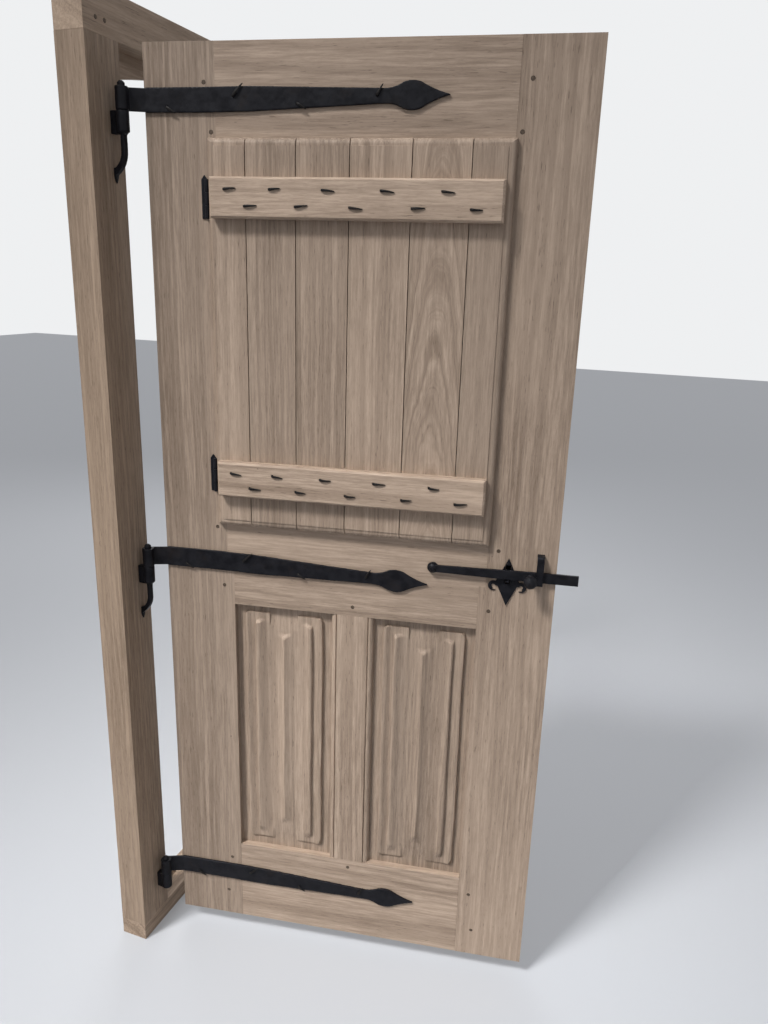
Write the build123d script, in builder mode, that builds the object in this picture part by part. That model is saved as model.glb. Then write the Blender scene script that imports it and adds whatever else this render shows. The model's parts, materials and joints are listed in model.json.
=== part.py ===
from build123d import *
import os
from math import asin, atan2, cos, hypot, radians, sin

# Hinged wooden entrance door in its frame, with the leaf standing open into the room.
# Millimetres. X runs along the frame from the hinge jamb to the latch jamb, +Z is up, and the
# room is on the -Y side. The origin is the middle of the sill's underside.
os.makedirs("parts", exist_ok=True)

# The leaf and its joinery
LEAF_W = 862
LEAF_H = 2000
LEAF_T = 45
OPEN_ANGLE = 80
STILE_W = 158
TOP_RAIL_H = 181
LOCK_RAIL_Z = 863
LOCK_RAIL_H = 205
BOTTOM_RAIL_H = 216
MUNTIN_W = 96
TENON_D = 22
TENON_T = 12
TENON_L = 48
TENON_SHOULDER = 8
TENON_HAUNCH = 54
TENON_GROOVED = 28
MUNTIN_TENON_L = 40
MUNTIN_TENON_SHOULDER = 20
MORTISE_SPARE = 1.0
PEG_R = 4.5
PEG_SIDES = 8
PEG_L = 38
PEG_EDGE = 16
PEG_NEAR = 24
PEG_FAR = 36
MUNTIN_PEG_IN = 21
QUIRK_IN = 13
QUIRK_W = 2
QUIRK_D = 4
BEAD_DROP = 9

# The glazed opening behind the shutter
REBATE_W = 14
REBATE_D = 20
REBATE_FROM = 99
GLASS_T = 6
GLASS_GAP = 2
BEAD_W = 12
BEAD_BEVEL = 5
BEAD_SUNK = 1

# The carved panels
GROOVE_D = 22
GROOVE_L = 11
TONGUE_T = 10
PANEL_SPARE = 1.0
GROUND_D = 16
FOLD_MARGIN_X = 21.5
FOLD_MARGIN_Z = 18
FOLD_OUTER_W = 24
FOLD_CREST = 10
FOLD_HOLLOW = 4
FOLD_RIDGE = 9
FOLD_STEP = 5
FOLD_ROLL = 7.5
FOLD_EDGE = 5.5
FOLD_LIP = 13
FOLD_CORNER = 9
THROAT_W = 67
THROAT_L = 38
THROAT_TIP = 15

# The frame
JAMB_FACE = 97
FRAME_D = 68
STOP_W = 15
HEAD_FACE = 83
SILL_H = 44
SILL_UPSTAND = 18
SILL_FALL = 8
GAP_HINGE = 4
GAP_LATCH = 4
GAP_TOP = 3
GAP_BOTTOM = 3
GAP_BACK = 0.5
ARCH_RISE = 53
ARCH_CROWN_DROP = 8
FRAME_TENON_D = 20
FRAME_TENON_T = 16
FRAME_TENON_IN = 18
HEAD_TENON_L = 55
SILL_TENON_L = 28
FRAME_PEG_L = 50

# Gudgeons and strap hinges
PIN_OUT = 24.5
PIN_FROM_LEAF = 35
PIN_R = 7.5
PIN_FIT = 0.05
PIN_DOME = 10
PIN_POINT = 4
EYE_R = 12.5
EYE_H = 42
EYE_GAP = 0.3
BARREL_H = 42
BARREL_FOOT = 5
WEB_W = 14
TANG_W = 9
TANG_L = 48
TANG_SPARE = 0.4
TAIL_W = 12
TAIL_T = 9
TAIL_DROP = 90
TAIL_STRAIGHT = 30
TAIL_HEEL = 14
LEAFLET_W = 13
LEAFLET_H = 30
LEAFLET_T = 4
STRAP_H = 44
STRAP_T = 6
STRAP_NECK_H = 26
STRAP_SPEAR_H = 50
STRAP_SPEAR_L = 34
STRAP_CRANK_X = 4
STRAP_SAG_X = 120
STRAP_TAPER_X = 210
STRAP_NECK_X = 472
STRAP_SPEAR_X = 525
STRAP_TIP_X = 597
STRAP_SAG = (-7, -11, 6)
STRAP_ABOVE_FOOT = 133
STRAP_IN_LOCK_RAIL = 103.5
STRAP_BELOW_TOP = 101
NAIL_W = 4
NAIL_HOLE = 0.1
CLINCH_T = 3.5
CLINCH_TIP_W = 2
NAIL_HEAD_W = 17
NAIL_HEAD_T = 5

# The shutter
SHUTTER_OVER_HINGE = 28.5
SHUTTER_OVER_LATCH = 17.5
SHUTTER_LAP = 13
SHUTTER_GAP = 0.5
PLANK_T = 20
FIELD_RISE = 2
FIELD_IN = 15
OVOLO_R = 12
PLANK_TONGUE_T = 5
PLANK_TONGUE_L = 6
PLANK_SPARE = 0.3
BATTEN_H = 75
BATTEN_T = 22
BATTEN_IN = 13
BATTEN_BEVEL = 4
BATTEN_FROM_END = 72
CLINCH_L = 22
CLINCH_W = 5
CLINCH_RISE = 3
NAIL_ROW = 15
NAIL_HIGH_SHARE = 0.55
NAIL_LOW_SHARE = 0.05
HINGE_H = 73
HINGE_PLATE_W = 13
HINGE_T = 2.5
KNUCKLE_R = 4.5
HINGE_PIN_R = 2.2
HINGE_PIN_OUT = 6
KNUCKLE_GAP = 0.4
WING_W = 36

# The thumb latch
BAR_PIVOT_IN = 99
BAR_IN_LOCK_RAIL = 133.5
BAR_PAST_LEAF = 45
BAR_T = 7
BAR_OUT = 4.5
BAR_ROOT_H = 15
BAR_TIP_H = 22
BALL_R = 12.5
BALL_T = 12
BAR_PIN_R = 4
BAR_PIN_L = 30
PIVOT_CAP_T = 3
KNOB_FROM_EDGE = 52.5
KNOB_R = 12.5
KNOB_STEM_R = 5
KNOB_COLLAR = 2
KNOB_L = 42
PLATE_W = 47
PLATE_H = 106
PLATE_T = 3
SCROLL_R = 10
SCROLL_W = 5
LEVER_FROM_EDGE = 99
LEVER_T = 7
LEVER_H = 8
LEVER_ARM = 66
LEVER_PAD_L = 52
LEVER_PAD_W = 26
LEVER_PIN_R = 3
LEVER_GAP = 1.0
SLOT_W = 11
SLOT_UP = 34
SLOT_DOWN = 14
KEEPER_FROM_EDGE = 34
KEEPER_W = 15
KEEPER_T = 5.5
KEEPER_OUT = 20
KEEPER_RISE = 32
KEEPER_PRONG = 14
OUTER_PLATE_W = 44
OUTER_PLATE_H = 260
HANDLE_W = 13
HANDLE_T = 11
HANDLE_H = 150
HANDLE_OUT = 46
HANDLE_DROP = 66
CATCH_W = 9
CATCH_PLATE_W = 26
CATCH_PLATE_H = 74
CATCH_PLATE_T = 3
CATCH_FROM_EDGE = 26
CATCH_LIP_H = 16
CATCH_LIP_T = 7
CATCH_CLEAR = 2.5

# Places that follow from the sizes
SLOT_H = GAP_HINGE + LEAF_W + GAP_LATCH
FRAME_W = SLOT_H + 2 * JAMB_FACE
REBATE_DEPTH = LEAF_T + GAP_BACK
LEAF_Z = SILL_H + GAP_BOTTOM
HEAD_Z = LEAF_Z + LEAF_H + GAP_TOP
FRAME_H = HEAD_Z + HEAD_FACE
LEFT = -FRAME_W / 2
RIGHT = FRAME_W / 2
ROOM = -FRAME_D / 2
STREET = FRAME_D / 2
STOP_Y = ROOM + REBATE_DEPTH
PIN_X = LEFT + JAMB_FACE + GAP_HINGE - PIN_FROM_LEAF
PIN_Y = ROOM - PIN_OUT

across = Vector(cos(radians(OPEN_ANGLE)), -sin(radians(OPEN_ANGLE)), 0)
inward = Vector(sin(radians(OPEN_ANGLE)), cos(radians(OPEN_ANGLE)), 0)
up = Vector(0, 0, 1)
corner = Vector(PIN_X, PIN_Y, LEAF_Z) + across * PIN_FROM_LEAF + inward * PIN_OUT
to_room = Axis(origin=corner, direction=inward * -1)

LEFT_STILE = STILE_W
RIGHT_STILE = LEAF_W - STILE_W
TOP_RAIL_Z = LEAF_H - TOP_RAIL_H
LOCK_TOP = LOCK_RAIL_Z + LOCK_RAIL_H
STEP_Z = LOCK_RAIL_Z + REBATE_FROM
MUNTIN_X = (LEAF_W - MUNTIN_W) / 2
STRAP_Z = (STRAP_ABOVE_FOOT, LOCK_RAIL_Z + STRAP_IN_LOCK_RAIL, LEAF_H - STRAP_BELOW_TOP)
SHUTTER_X = LEFT_STILE - SHUTTER_OVER_HINGE
SHUTTER_W = RIGHT_STILE + SHUTTER_OVER_LATCH - SHUTTER_X
SHUTTER_Z = LOCK_TOP - SHUTTER_LAP
SHUTTER_TOP = TOP_RAIL_Z + SHUTTER_LAP
SHUTTER_FRONT = -SHUTTER_GAP - PLANK_T
BAR_PIVOT_X = RIGHT_STILE - BAR_PIVOT_IN
BAR_Z = LOCK_RAIL_Z + BAR_IN_LOCK_RAIL
BAR_END_X = LEAF_W + BAR_PAST_LEAF
KNOB_X = LEAF_W - KNOB_FROM_EDGE
LEVER_X = LEAF_W - LEVER_FROM_EDGE
KEEPER_X = LEAF_W - KEEPER_FROM_EDGE


def spot(x, depth, z):
    """A point of the leaf: x from its hinge edge, depth behind its room face, z from its foot."""
    return corner + across * x + inward * depth + up * z


def face_plane(depth=0, x=0, z=0):
    """Parallel to the leaf's room face: local x across the leaf, local y up, normal to the room."""
    return Plane(origin=spot(x, depth, z), x_dir=across, z_dir=-inward)


def plan_plane(z, x=0, depth=0):
    """Level plane of the leaf: local x across the leaf, local y into its thickness."""
    return Plane(origin=spot(x, depth, z), x_dir=across, z_dir=up)


def side_plane(x, depth=0, z=0):
    """Upright plane square to the leaf's face: local x into its thickness, local y up."""
    return Plane(origin=spot(x, depth, z), x_dir=inward, z_dir=across)


def rectangle(plane, x0, y0, x1, y1):
    """A rectangle given by two corners on a plane."""
    with BuildSketch(plane) as outline:
        with Locations(((x0 + x1) / 2, (y0 + y1) / 2)):
            Rectangle(x1 - x0, y1 - y0)
    return outline.sketch


def disc(plane, x, y, radius):
    """A disc on a plane."""
    with BuildSketch(plane) as outline:
        with Locations((x, y)):
            Circle(radius)
    return outline.sketch


def loop(plane, *points):
    """A closed straight-sided outline on a plane."""
    with BuildSketch(plane) as outline:
        with BuildLine():
            Polyline(*points, close=True)
        make_face()
    return outline.sketch


def leaf_board(x0, x1, z0, z1, near=0, far=LEAF_T, mode=Mode.ADD):
    """A straight board, or a cut of that shape, in the leaf between two depths."""
    extrude(rectangle(face_plane(near), x0, z0, x1, z1), amount=near - far, mode=mode)


def frame_board(x0, x1, y0, y1, z0, z1, mode=Mode.ADD):
    """A straight board, or a cut of that shape, along the frame's own axes."""
    extrude(rectangle(Plane.XY.offset(z0), x0, y0, x1, y1), amount=z1 - z0, mode=mode)


def drill(plane, x, y, radius, depth):
    """A round hole that runs from a plane against its normal."""
    extrude(disc(plane, x, y, radius), amount=-depth, mode=Mode.SUBTRACT)


def peg_ends(plane, places):
    """The eight-sided ends of riven pegs; they crush their holes to the same shape."""
    with BuildSketch(plane) as outline:
        with Locations(*places):
            RegularPolygon(PEG_R, PEG_SIDES)
    return outline.sketch


def nail_ends(plane, places, width):
    """The square sections of several nails on a plane."""
    with BuildSketch(plane) as outline:
        with Locations(*places):
            Rectangle(width, width)
    return outline.sketch


def save(piece, name):
    """Label a finished piece and write it under that name."""
    piece.part.label = name
    export_step(piece.part, f"parts/{name}.step")


# Tenons of the rails: lower and upper edge of each
top_tenon = (TOP_RAIL_Z + TENON_SHOULDER, LEAF_H - TENON_HAUNCH)
lock_tenon = (LOCK_RAIL_Z + TENON_GROOVED, LOCK_TOP - TENON_SHOULDER)
bottom_tenon = (TENON_HAUNCH, BOTTOM_RAIL_H - TENON_GROOVED)
rail_tenons = (top_tenon, lock_tenon, bottom_tenon)
muntin_tenon_x = (MUNTIN_X + MUNTIN_TENON_SHOULDER, MUNTIN_X + MUNTIN_W - MUNTIN_TENON_SHOULDER)

# Pegs: two through each rail tenon, staggered so that they don't split it, with the outer one of
# the top and the bottom rail further from the shoulder, and one through each tenon of the muntin
peg_setting = [(top_tenon, PEG_NEAR, PEG_FAR), (lock_tenon, PEG_NEAR, PEG_FAR),
               (bottom_tenon, PEG_FAR, PEG_NEAR)]
leaf_pegs_at = [(LEAF_W / 2, BOTTOM_RAIL_H - MUNTIN_PEG_IN), (LEAF_W / 2, LOCK_RAIL_Z + MUNTIN_PEG_IN)]
for tenon, low_in, high_in in peg_setting:
    for x_edge, side in ((LEFT_STILE, -1), (RIGHT_STILE, 1)):
        leaf_pegs_at.append((x_edge + side * low_in, tenon[0] + PEG_EDGE))
        leaf_pegs_at.append((x_edge + side * high_in, tenon[1] - PEG_EDGE))

# Nails of a strap: where the shank comes through, and where the clenched tip ends
strap_nails_at = ((48, -13, 65, -24), (182, 5, 203, 26), (308, -10, 325, -21), (460, 1, 472, 19))


def cut_pegs():
    """The leaf's peg holes, through whatever piece is being made."""
    extrude(peg_ends(face_plane(), leaf_pegs_at), amount=-PEG_L, mode=Mode.SUBTRACT)


def strap_line(x, sag):
    """How far a strap's middle line stands above its eye's at x: the straps were never quite level."""
    return sag * max(0, x - STRAP_SAG_X) / (STRAP_TIP_X - STRAP_SAG_X)


def strap_shanks(strap_z, sag):
    """Where the nails of one strap stand on the leaf."""
    return [(x, strap_z + strap_line(x, sag) + rise) for x, rise, tip_x, tip_rise in strap_nails_at]


def cut_strap_nails():
    """Square nail holes through the leaf behind the three straps."""
    places = [place for strap_z, sag in zip(STRAP_Z, STRAP_SAG) for place in strap_shanks(strap_z, sag)]
    extrude(nail_ends(face_plane(), places, NAIL_W + 2 * NAIL_HOLE), amount=-LEAF_T, mode=Mode.SUBTRACT)


def cut_stile(x_edge, side):
    """Mortises, panel groove and glazing rebate of a stile whose inner edge is at x_edge.
    side is +1 where the leaf's middle lies towards +x of that edge, and -1 on the other stile."""
    reach = x_edge - side * (TENON_L + MORTISE_SPARE)
    for low, high in rail_tenons:
        x0, x1 = sorted((reach, x_edge))
        leaf_board(x0, x1, low, high, TENON_D, TENON_D + TENON_T, Mode.SUBTRACT)
    x0, x1 = sorted((x_edge - side * GROOVE_L, x_edge))
    leaf_board(x0, x1, BOTTOM_RAIL_H - GROOVE_L, LOCK_RAIL_Z + GROOVE_L,
               GROOVE_D, GROOVE_D + TONGUE_T, Mode.SUBTRACT)
    x0, x1 = sorted((x_edge - side * REBATE_W, x_edge))
    leaf_board(x0, x1, STEP_Z, LEAF_H, 0, REBATE_D, Mode.SUBTRACT)


# Frame: two jambs with a rebate and a stop, tenoned into the head and the sill
tenon_y = (ROOM + FRAME_TENON_D, ROOM + FRAME_TENON_D + FRAME_TENON_T)
jamb_tenon_x = ((LEFT + FRAME_TENON_IN, LEFT + JAMB_FACE - FRAME_TENON_IN),
                (RIGHT - JAMB_FACE + FRAME_TENON_IN, RIGHT - FRAME_TENON_IN))
frame_pegs_at = [(x, HEAD_Z + HEAD_TENON_L / 2) for pair in jamb_tenon_x
                 for x in (pair[0] + FRAME_TENON_IN, pair[1] - FRAME_TENON_IN)]
room_plane = Plane(origin=(0, ROOM, 0), x_dir=(1, 0, 0), z_dir=(0, -1, 0))


def barrel_top(strap_z):
    """Height of a gudgeon's barrel, just under the eye of its strap."""
    return LEAF_Z + strap_z - EYE_H / 2 - EYE_GAP


with BuildPart() as hinge_jamb:
    frame_board(LEFT, LEFT + JAMB_FACE, ROOM, STREET, SILL_H, HEAD_Z)
    frame_board(LEFT, LEFT + JAMB_FACE + STOP_W, STOP_Y, STREET, SILL_H, HEAD_Z)
    frame_board(*jamb_tenon_x[0], *tenon_y, SILL_H - SILL_TENON_L, HEAD_Z + HEAD_TENON_L)
    extrude(peg_ends(room_plane, frame_pegs_at), amount=-FRAME_PEG_L, mode=Mode.SUBTRACT)
    tangs_at = [(PIN_X, barrel_top(z) - BARREL_H / 2) for z in STRAP_Z]
    extrude(nail_ends(room_plane, tangs_at, TANG_W + TANG_SPARE), amount=-TANG_L - TANG_SPARE,
            mode=Mode.SUBTRACT)
save(hinge_jamb, "hinge_jamb")

with BuildPart() as latch_jamb:
    frame_board(RIGHT - JAMB_FACE, RIGHT, ROOM, STREET, SILL_H, HEAD_Z)
    frame_board(RIGHT - JAMB_FACE - STOP_W, RIGHT, STOP_Y, STREET, SILL_H, HEAD_Z)
    frame_board(*jamb_tenon_x[1], *tenon_y, SILL_H - SILL_TENON_L, HEAD_Z + HEAD_TENON_L)
    extrude(peg_ends(room_plane, frame_pegs_at), amount=-FRAME_PEG_L, mode=Mode.SUBTRACT)
save(latch_jamb, "latch_jamb")

# Head: straight above, with a segmental arch cut in the stop behind the leaf
stop_left = LEFT + JAMB_FACE + STOP_W
stop_right = RIGHT - JAMB_FACE - STOP_W
arch_span = stop_right - stop_left
arch_r = (arch_span ** 2 / 4 + ARCH_RISE ** 2) / (2 * ARCH_RISE)
crown_z = HEAD_Z - ARCH_CROWN_DROP
spring_z = crown_z - ARCH_RISE
with BuildPart() as frame_head:
    frame_board(LEFT, RIGHT, ROOM, STREET, HEAD_Z, FRAME_H)
    frame_board(stop_left, stop_right, STOP_Y, STREET, spring_z, HEAD_Z)
    arch_plane = Plane(origin=(0, STREET, 0), x_dir=(1, 0, 0), z_dir=(0, -1, 0))
    extrude(disc(arch_plane, 0, crown_z - arch_r, arch_r), amount=FRAME_D - REBATE_DEPTH,
            mode=Mode.SUBTRACT)
    for pair in jamb_tenon_x:
        frame_board(*pair, *tenon_y, HEAD_Z, HEAD_Z + HEAD_TENON_L, Mode.SUBTRACT)
    extrude(peg_ends(room_plane, frame_pegs_at), amount=-FRAME_PEG_L, mode=Mode.SUBTRACT)
save(frame_head, "frame_head")

# Sill: runs under both jambs, with a weathered upstand that stops the leaf's foot
with BuildPart() as frame_sill:
    frame_board(LEFT, RIGHT, ROOM, STREET, 0, SILL_H)
    sill_end = Plane(origin=(stop_left, 0, SILL_H), x_dir=(0, 1, 0), z_dir=(1, 0, 0))
    extrude(loop(sill_end, (STOP_Y, 0), (STREET, 0), (STREET, SILL_UPSTAND - SILL_FALL),
                 (STOP_Y, SILL_UPSTAND)), amount=arch_span)
    for pair in jamb_tenon_x:
        frame_board(*pair, *tenon_y, SILL_H - SILL_TENON_L, SILL_H, Mode.SUBTRACT)
save(frame_sill, "frame_sill")

with BuildPart() as frame_pegs:
    extrude(peg_ends(room_plane, frame_pegs_at), amount=-FRAME_PEG_L)
save(frame_pegs, "frame_pegs")


def gudgeon(strap_z, with_tail):
    """Forged gudgeon: a barrel with the upright pin, a web back to the jamb, a tang driven into
    it and, on two of them, a tail that sweeps back to a pointed leaflet on the jamb's face."""
    top = barrel_top(strap_z)
    foot = top - BARREL_H
    with BuildPart() as forging:
        extrude(disc(Plane.XY.offset(foot), PIN_X, PIN_Y, EYE_R), amount=BARREL_H)
        chamfer(forging.edges().sort_by(Axis.Z)[0], BARREL_FOOT)
        frame_board(PIN_X - WEB_W / 2, PIN_X + WEB_W / 2, PIN_Y, ROOM, foot, top)
        extrude(disc(Plane.XY.offset(top), PIN_X, PIN_Y, PIN_R), amount=EYE_GAP + EYE_H + PIN_DOME)
        chamfer(forging.edges().sort_by(Axis.Z)[-1], PIN_POINT)
        extrude(nail_ends(room_plane, [(PIN_X, top - BARREL_H / 2)], TANG_W), amount=-TANG_L)
        if with_tail:
            back = PIN_OUT - TAIL_T / 2
            front = PIN_OUT + TAIL_T / 2
            bend = -TAIL_STRAIGHT
            leaflet_top = LEAFLET_H - TAIL_DROP
            heel = leaflet_top - TAIL_HEEL
            with BuildSketch(Plane(origin=(PIN_X, ROOM, foot), x_dir=(0, -1, 0), z_dir=(-1, 0, 0))):
                with BuildLine():
                    Polyline((back, bend), (back, BARREL_FOOT), (front, BARREL_FOOT), (front, bend))
                    TangentArc((front, bend), (LEAFLET_T, heel), tangent=(0, -1))
                    Line((LEAFLET_T, heel), (LEAFLET_T, leaflet_top))
                    TangentArc((back, bend), (LEAFLET_T, leaflet_top), tangent=(0, -1))
                make_face()
            extrude(amount=TAIL_W / 2, both=True)
            with BuildSketch(Plane(origin=(PIN_X, ROOM, foot), x_dir=(1, 0, 0), z_dir=(0, -1, 0))):
                with BuildLine():
                    shoulder = (LEAFLET_W / 2, heel)
                    Polyline((-TAIL_W / 2, leaflet_top), (TAIL_W / 2, leaflet_top), shoulder)
                    ThreePointArc(shoulder, (LEAFLET_W / 3, (heel - TAIL_DROP) / 2), (0, -TAIL_DROP))
                    mirror_shoulder = (-LEAFLET_W / 2, heel)
                    ThreePointArc((0, -TAIL_DROP), (-LEAFLET_W / 3, (heel - TAIL_DROP) / 2), mirror_shoulder)
                    Line(mirror_shoulder, (-TAIL_W / 2, leaflet_top))
                make_face()
            extrude(amount=LEAFLET_T)
    return forging


for place, strap_z in zip(("bottom", "middle", "top"), STRAP_Z):
    save(gudgeon(strap_z, place != "bottom"), f"gudgeon_{place}")

# Catch on the latch jamb: a plate with a hooked nose that the bar drops behind
catch_x = RIGHT - JAMB_FACE + CATCH_FROM_EDGE
bar_low = LEAF_Z + BAR_Z - BAR_TIP_H / 2
bar_back = ROOM - BAR_OUT
bar_front = bar_back - BAR_T
with BuildPart() as latch_catch:
    plate_mid = bar_low - CATCH_CLEAR
    frame_board(catch_x - CATCH_PLATE_W / 2, catch_x + CATCH_PLATE_W / 2, ROOM - CATCH_PLATE_T, ROOM,
                plate_mid - CATCH_PLATE_H / 2, plate_mid + CATCH_PLATE_H / 2)
    lip_y = bar_front - CATCH_CLEAR
    nose = Plane(origin=(catch_x - CATCH_W / 2, 0, bar_low - CATCH_CLEAR), x_dir=(0, 1, 0), z_dir=(1, 0, 0))
    nose_y = lip_y - CATCH_LIP_T
    extrude(loop(nose, (ROOM - CATCH_PLATE_T, 0), (lip_y, 0), (lip_y, CATCH_LIP_H),
                 (lip_y - CATCH_LIP_T / 2, CATCH_LIP_H), (nose_y - CATCH_LIP_T, 0),
                 (nose_y, -CATCH_LIP_H / 2), (ROOM - CATCH_PLATE_T, -CATCH_PLATE_H / 3)), amount=CATCH_W)
save(latch_catch, "latch_catch")

# Leaf: stiles, rails and muntin
with BuildPart() as hinge_stile:
    leaf_board(0, LEFT_STILE, 0, LEAF_H)
    cut_stile(LEFT_STILE, 1)
    cut_pegs()
    cut_strap_nails()
save(hinge_stile, "hinge_stile")

bar_taper = (LEVER_X - BAR_PIVOT_X) / (KEEPER_X - BAR_PIVOT_X)
bar_h_at_lever = BAR_ROOT_H + (BAR_TIP_H - BAR_ROOT_H) * bar_taper
lever_z = BAR_Z - bar_h_at_lever / 2 - LEVER_GAP - LEVER_H / 2
keeper_low = BAR_Z - BAR_TIP_H / 2 - KEEPER_T
with BuildPart() as latch_stile:
    leaf_board(RIGHT_STILE, LEAF_W, 0, LEAF_H)
    cut_stile(RIGHT_STILE, -1)
    cut_pegs()
    leaf_board(LEVER_X - SLOT_W / 2, LEVER_X + SLOT_W / 2, lever_z - SLOT_DOWN, lever_z + SLOT_UP,
               mode=Mode.SUBTRACT)
    for low in (keeper_low, keeper_low + KEEPER_T + KEEPER_RISE + BAR_TIP_H):
        leaf_board(KEEPER_X - KEEPER_W / 2, KEEPER_X + KEEPER_W / 2, low, low + KEEPER_T,
                   0, KEEPER_PRONG, Mode.SUBTRACT)
save(latch_stile, "latch_stile")


def rail_tenon(low, high):
    """The tenons at both ends of a rail."""
    leaf_board(LEFT_STILE - TENON_L, RIGHT_STILE + TENON_L, low, high, TENON_D, TENON_D + TENON_T)


def muntin_mortise(low, high):
    """The mortise that takes a tenon of the muntin."""
    leaf_board(*muntin_tenon_x, low, high, TENON_D, TENON_D + TENON_T, Mode.SUBTRACT)


with BuildPart() as top_rail:
    leaf_board(LEFT_STILE, RIGHT_STILE, TOP_RAIL_Z - REBATE_W, LEAF_H, REBATE_D, LEAF_T)
    leaf_board(LEFT_STILE - REBATE_W, RIGHT_STILE + REBATE_W, TOP_RAIL_Z, LEAF_H, 0, REBATE_D)
    rail_tenon(*top_tenon)
    cut_pegs()
    cut_strap_nails()
save(top_rail, "top_rail")

with BuildPart() as lock_rail:
    leaf_board(LEFT_STILE, RIGHT_STILE, LOCK_RAIL_Z, LOCK_TOP + REBATE_W, REBATE_D, LEAF_T)
    leaf_board(LEFT_STILE, RIGHT_STILE, LOCK_RAIL_Z, LOCK_TOP, 0, REBATE_D)
    leaf_board(LEFT_STILE - REBATE_W, RIGHT_STILE + REBATE_W, STEP_Z, LOCK_TOP, 0, REBATE_D)
    rail_tenon(*lock_tenon)
    leaf_board(LEFT_STILE, RIGHT_STILE, LOCK_RAIL_Z, LOCK_RAIL_Z + GROOVE_L,
               GROOVE_D, GROOVE_D + TONGUE_T, Mode.SUBTRACT)
    muntin_mortise(LOCK_RAIL_Z, LOCK_RAIL_Z + MUNTIN_TENON_L + MORTISE_SPARE)
    cut_pegs()
    cut_strap_nails()
    drill(face_plane(), BAR_PIVOT_X, BAR_Z, BAR_PIN_R, BAR_PIN_L)
save(lock_rail, "lock_rail")

with BuildPart() as bottom_rail:
    leaf_board(LEFT_STILE, RIGHT_STILE, 0, BOTTOM_RAIL_H)
    rail_tenon(*bottom_tenon)
    leaf_board(LEFT_STILE, RIGHT_STILE, BOTTOM_RAIL_H - GROOVE_L, BOTTOM_RAIL_H,
               GROOVE_D, GROOVE_D + TONGUE_T, Mode.SUBTRACT)
    muntin_mortise(BOTTOM_RAIL_H - MUNTIN_TENON_L - MORTISE_SPARE, BOTTOM_RAIL_H)
    cut_pegs()
    cut_strap_nails()
save(bottom_rail, "bottom_rail")

# Muntin: a quirked bead is worked on both of its front edges
with BuildPart() as muntin:
    half = MUNTIN_W / 2
    with BuildSketch(plan_plane(BOTTOM_RAIL_H, LEAF_W / 2)):
        with BuildLine():
            Polyline((0, LEAF_T), (half, LEAF_T), (half, BEAD_DROP))
            quirk_edge = half - QUIRK_IN
            ThreePointArc((half, BEAD_DROP), (half - 0.3 * QUIRK_IN, BEAD_DROP / 3),
                          (quirk_edge + QUIRK_W, 1))
            Polyline((quirk_edge + QUIRK_W, 1), (quirk_edge + QUIRK_W, QUIRK_D),
                     (quirk_edge, QUIRK_D), (quirk_edge, 0), (0, 0))
            mirror(about=Plane.YZ)
        make_face()
    extrude(amount=LOCK_RAIL_Z - BOTTOM_RAIL_H)
    leaf_board(*muntin_tenon_x, BOTTOM_RAIL_H - MUNTIN_TENON_L, LOCK_RAIL_Z + MUNTIN_TENON_L,
               TENON_D, TENON_D + TENON_T)
    for x in (MUNTIN_X, MUNTIN_X + MUNTIN_W - GROOVE_L):
        leaf_board(x, x + GROOVE_L, BOTTOM_RAIL_H, LOCK_RAIL_Z, GROOVE_D, GROOVE_D + TONGUE_T,
                   Mode.SUBTRACT)
    cut_pegs()
save(muntin, "muntin")

# Linenfold panels: folded cloth carved in relief, with the folds' ends cut square at both ends
panel_w = MUNTIN_X - STILE_W
panel_low = BOTTOM_RAIL_H
panel_high = LOCK_RAIL_Z
fold_half = panel_w / 2 - FOLD_MARGIN_X
ridge_x = fold_half - FOLD_OUTER_W
fold_low = panel_low + FOLD_MARGIN_Z
fold_high = panel_high - FOLD_MARGIN_Z


def linenfold_panel(x_left):
    """A panel with its tongue in the grooves and the folds standing up from a sunk ground."""
    middle = x_left + panel_w / 2
    ground = GROUND_D
    with BuildPart() as panel:
        leaf_board(x_left, x_left + panel_w, panel_low, panel_high, ground, GROOVE_D + TONGUE_T)
        reach = GROOVE_L - PANEL_SPARE
        leaf_board(x_left - reach, x_left + panel_w + reach, panel_low - reach, panel_high + reach,
                   GROOVE_D, GROOVE_D + TONGUE_T)
        with BuildSketch(plan_plane(fold_low, middle)):
            with BuildLine():
                Line((0, ground), (0, ground - FOLD_CREST))
                ThreePointArc((0, ground - FOLD_CREST), (ridge_x * 0.45, ground - FOLD_HOLLOW),
                              (ridge_x, ground - FOLD_RIDGE))
                Line((ridge_x, ground - FOLD_RIDGE), (ridge_x, ground - FOLD_STEP))
                ThreePointArc((ridge_x, ground - FOLD_STEP),
                              (ridge_x + FOLD_OUTER_W * 0.6, ground - FOLD_ROLL),
                              (fold_half, ground - FOLD_EDGE))
                Polyline((fold_half, ground - FOLD_EDGE), (fold_half, ground), (0, ground))
            make_face()
            mirror(about=Plane.YZ)
        extrude(amount=fold_high - fold_low)
        for end, way in ((fold_low, 1), (fold_high, -1)):
            lip = end + way * FOLD_LIP
            leaf_board(middle - ridge_x, middle + ridge_x, *sorted((end, lip)), 0,
                       ground - FOLD_STEP, Mode.SUBTRACT)
            shoulder = end + way * THROAT_L
            point = shoulder + way * THROAT_TIP
            half = THROAT_W / 2
            throat = loop(face_plane(ground), (middle - half, end), (middle - half, shoulder),
                          (middle, point), (middle + half, shoulder), (middle + half, end))
            extrude(throat, amount=ground, mode=Mode.SUBTRACT)
            for side in (-1, 1):
                x = middle + side * fold_half
                nick = loop(face_plane(ground), (x, end), (x - side * FOLD_CORNER, end),
                            (x, end + way * FOLD_CORNER))
                extrude(nick, amount=ground, mode=Mode.SUBTRACT)
    return panel


save(linenfold_panel(STILE_W), "panel_left")
save(linenfold_panel(MUNTIN_X + MUNTIN_W), "panel_right")

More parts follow.
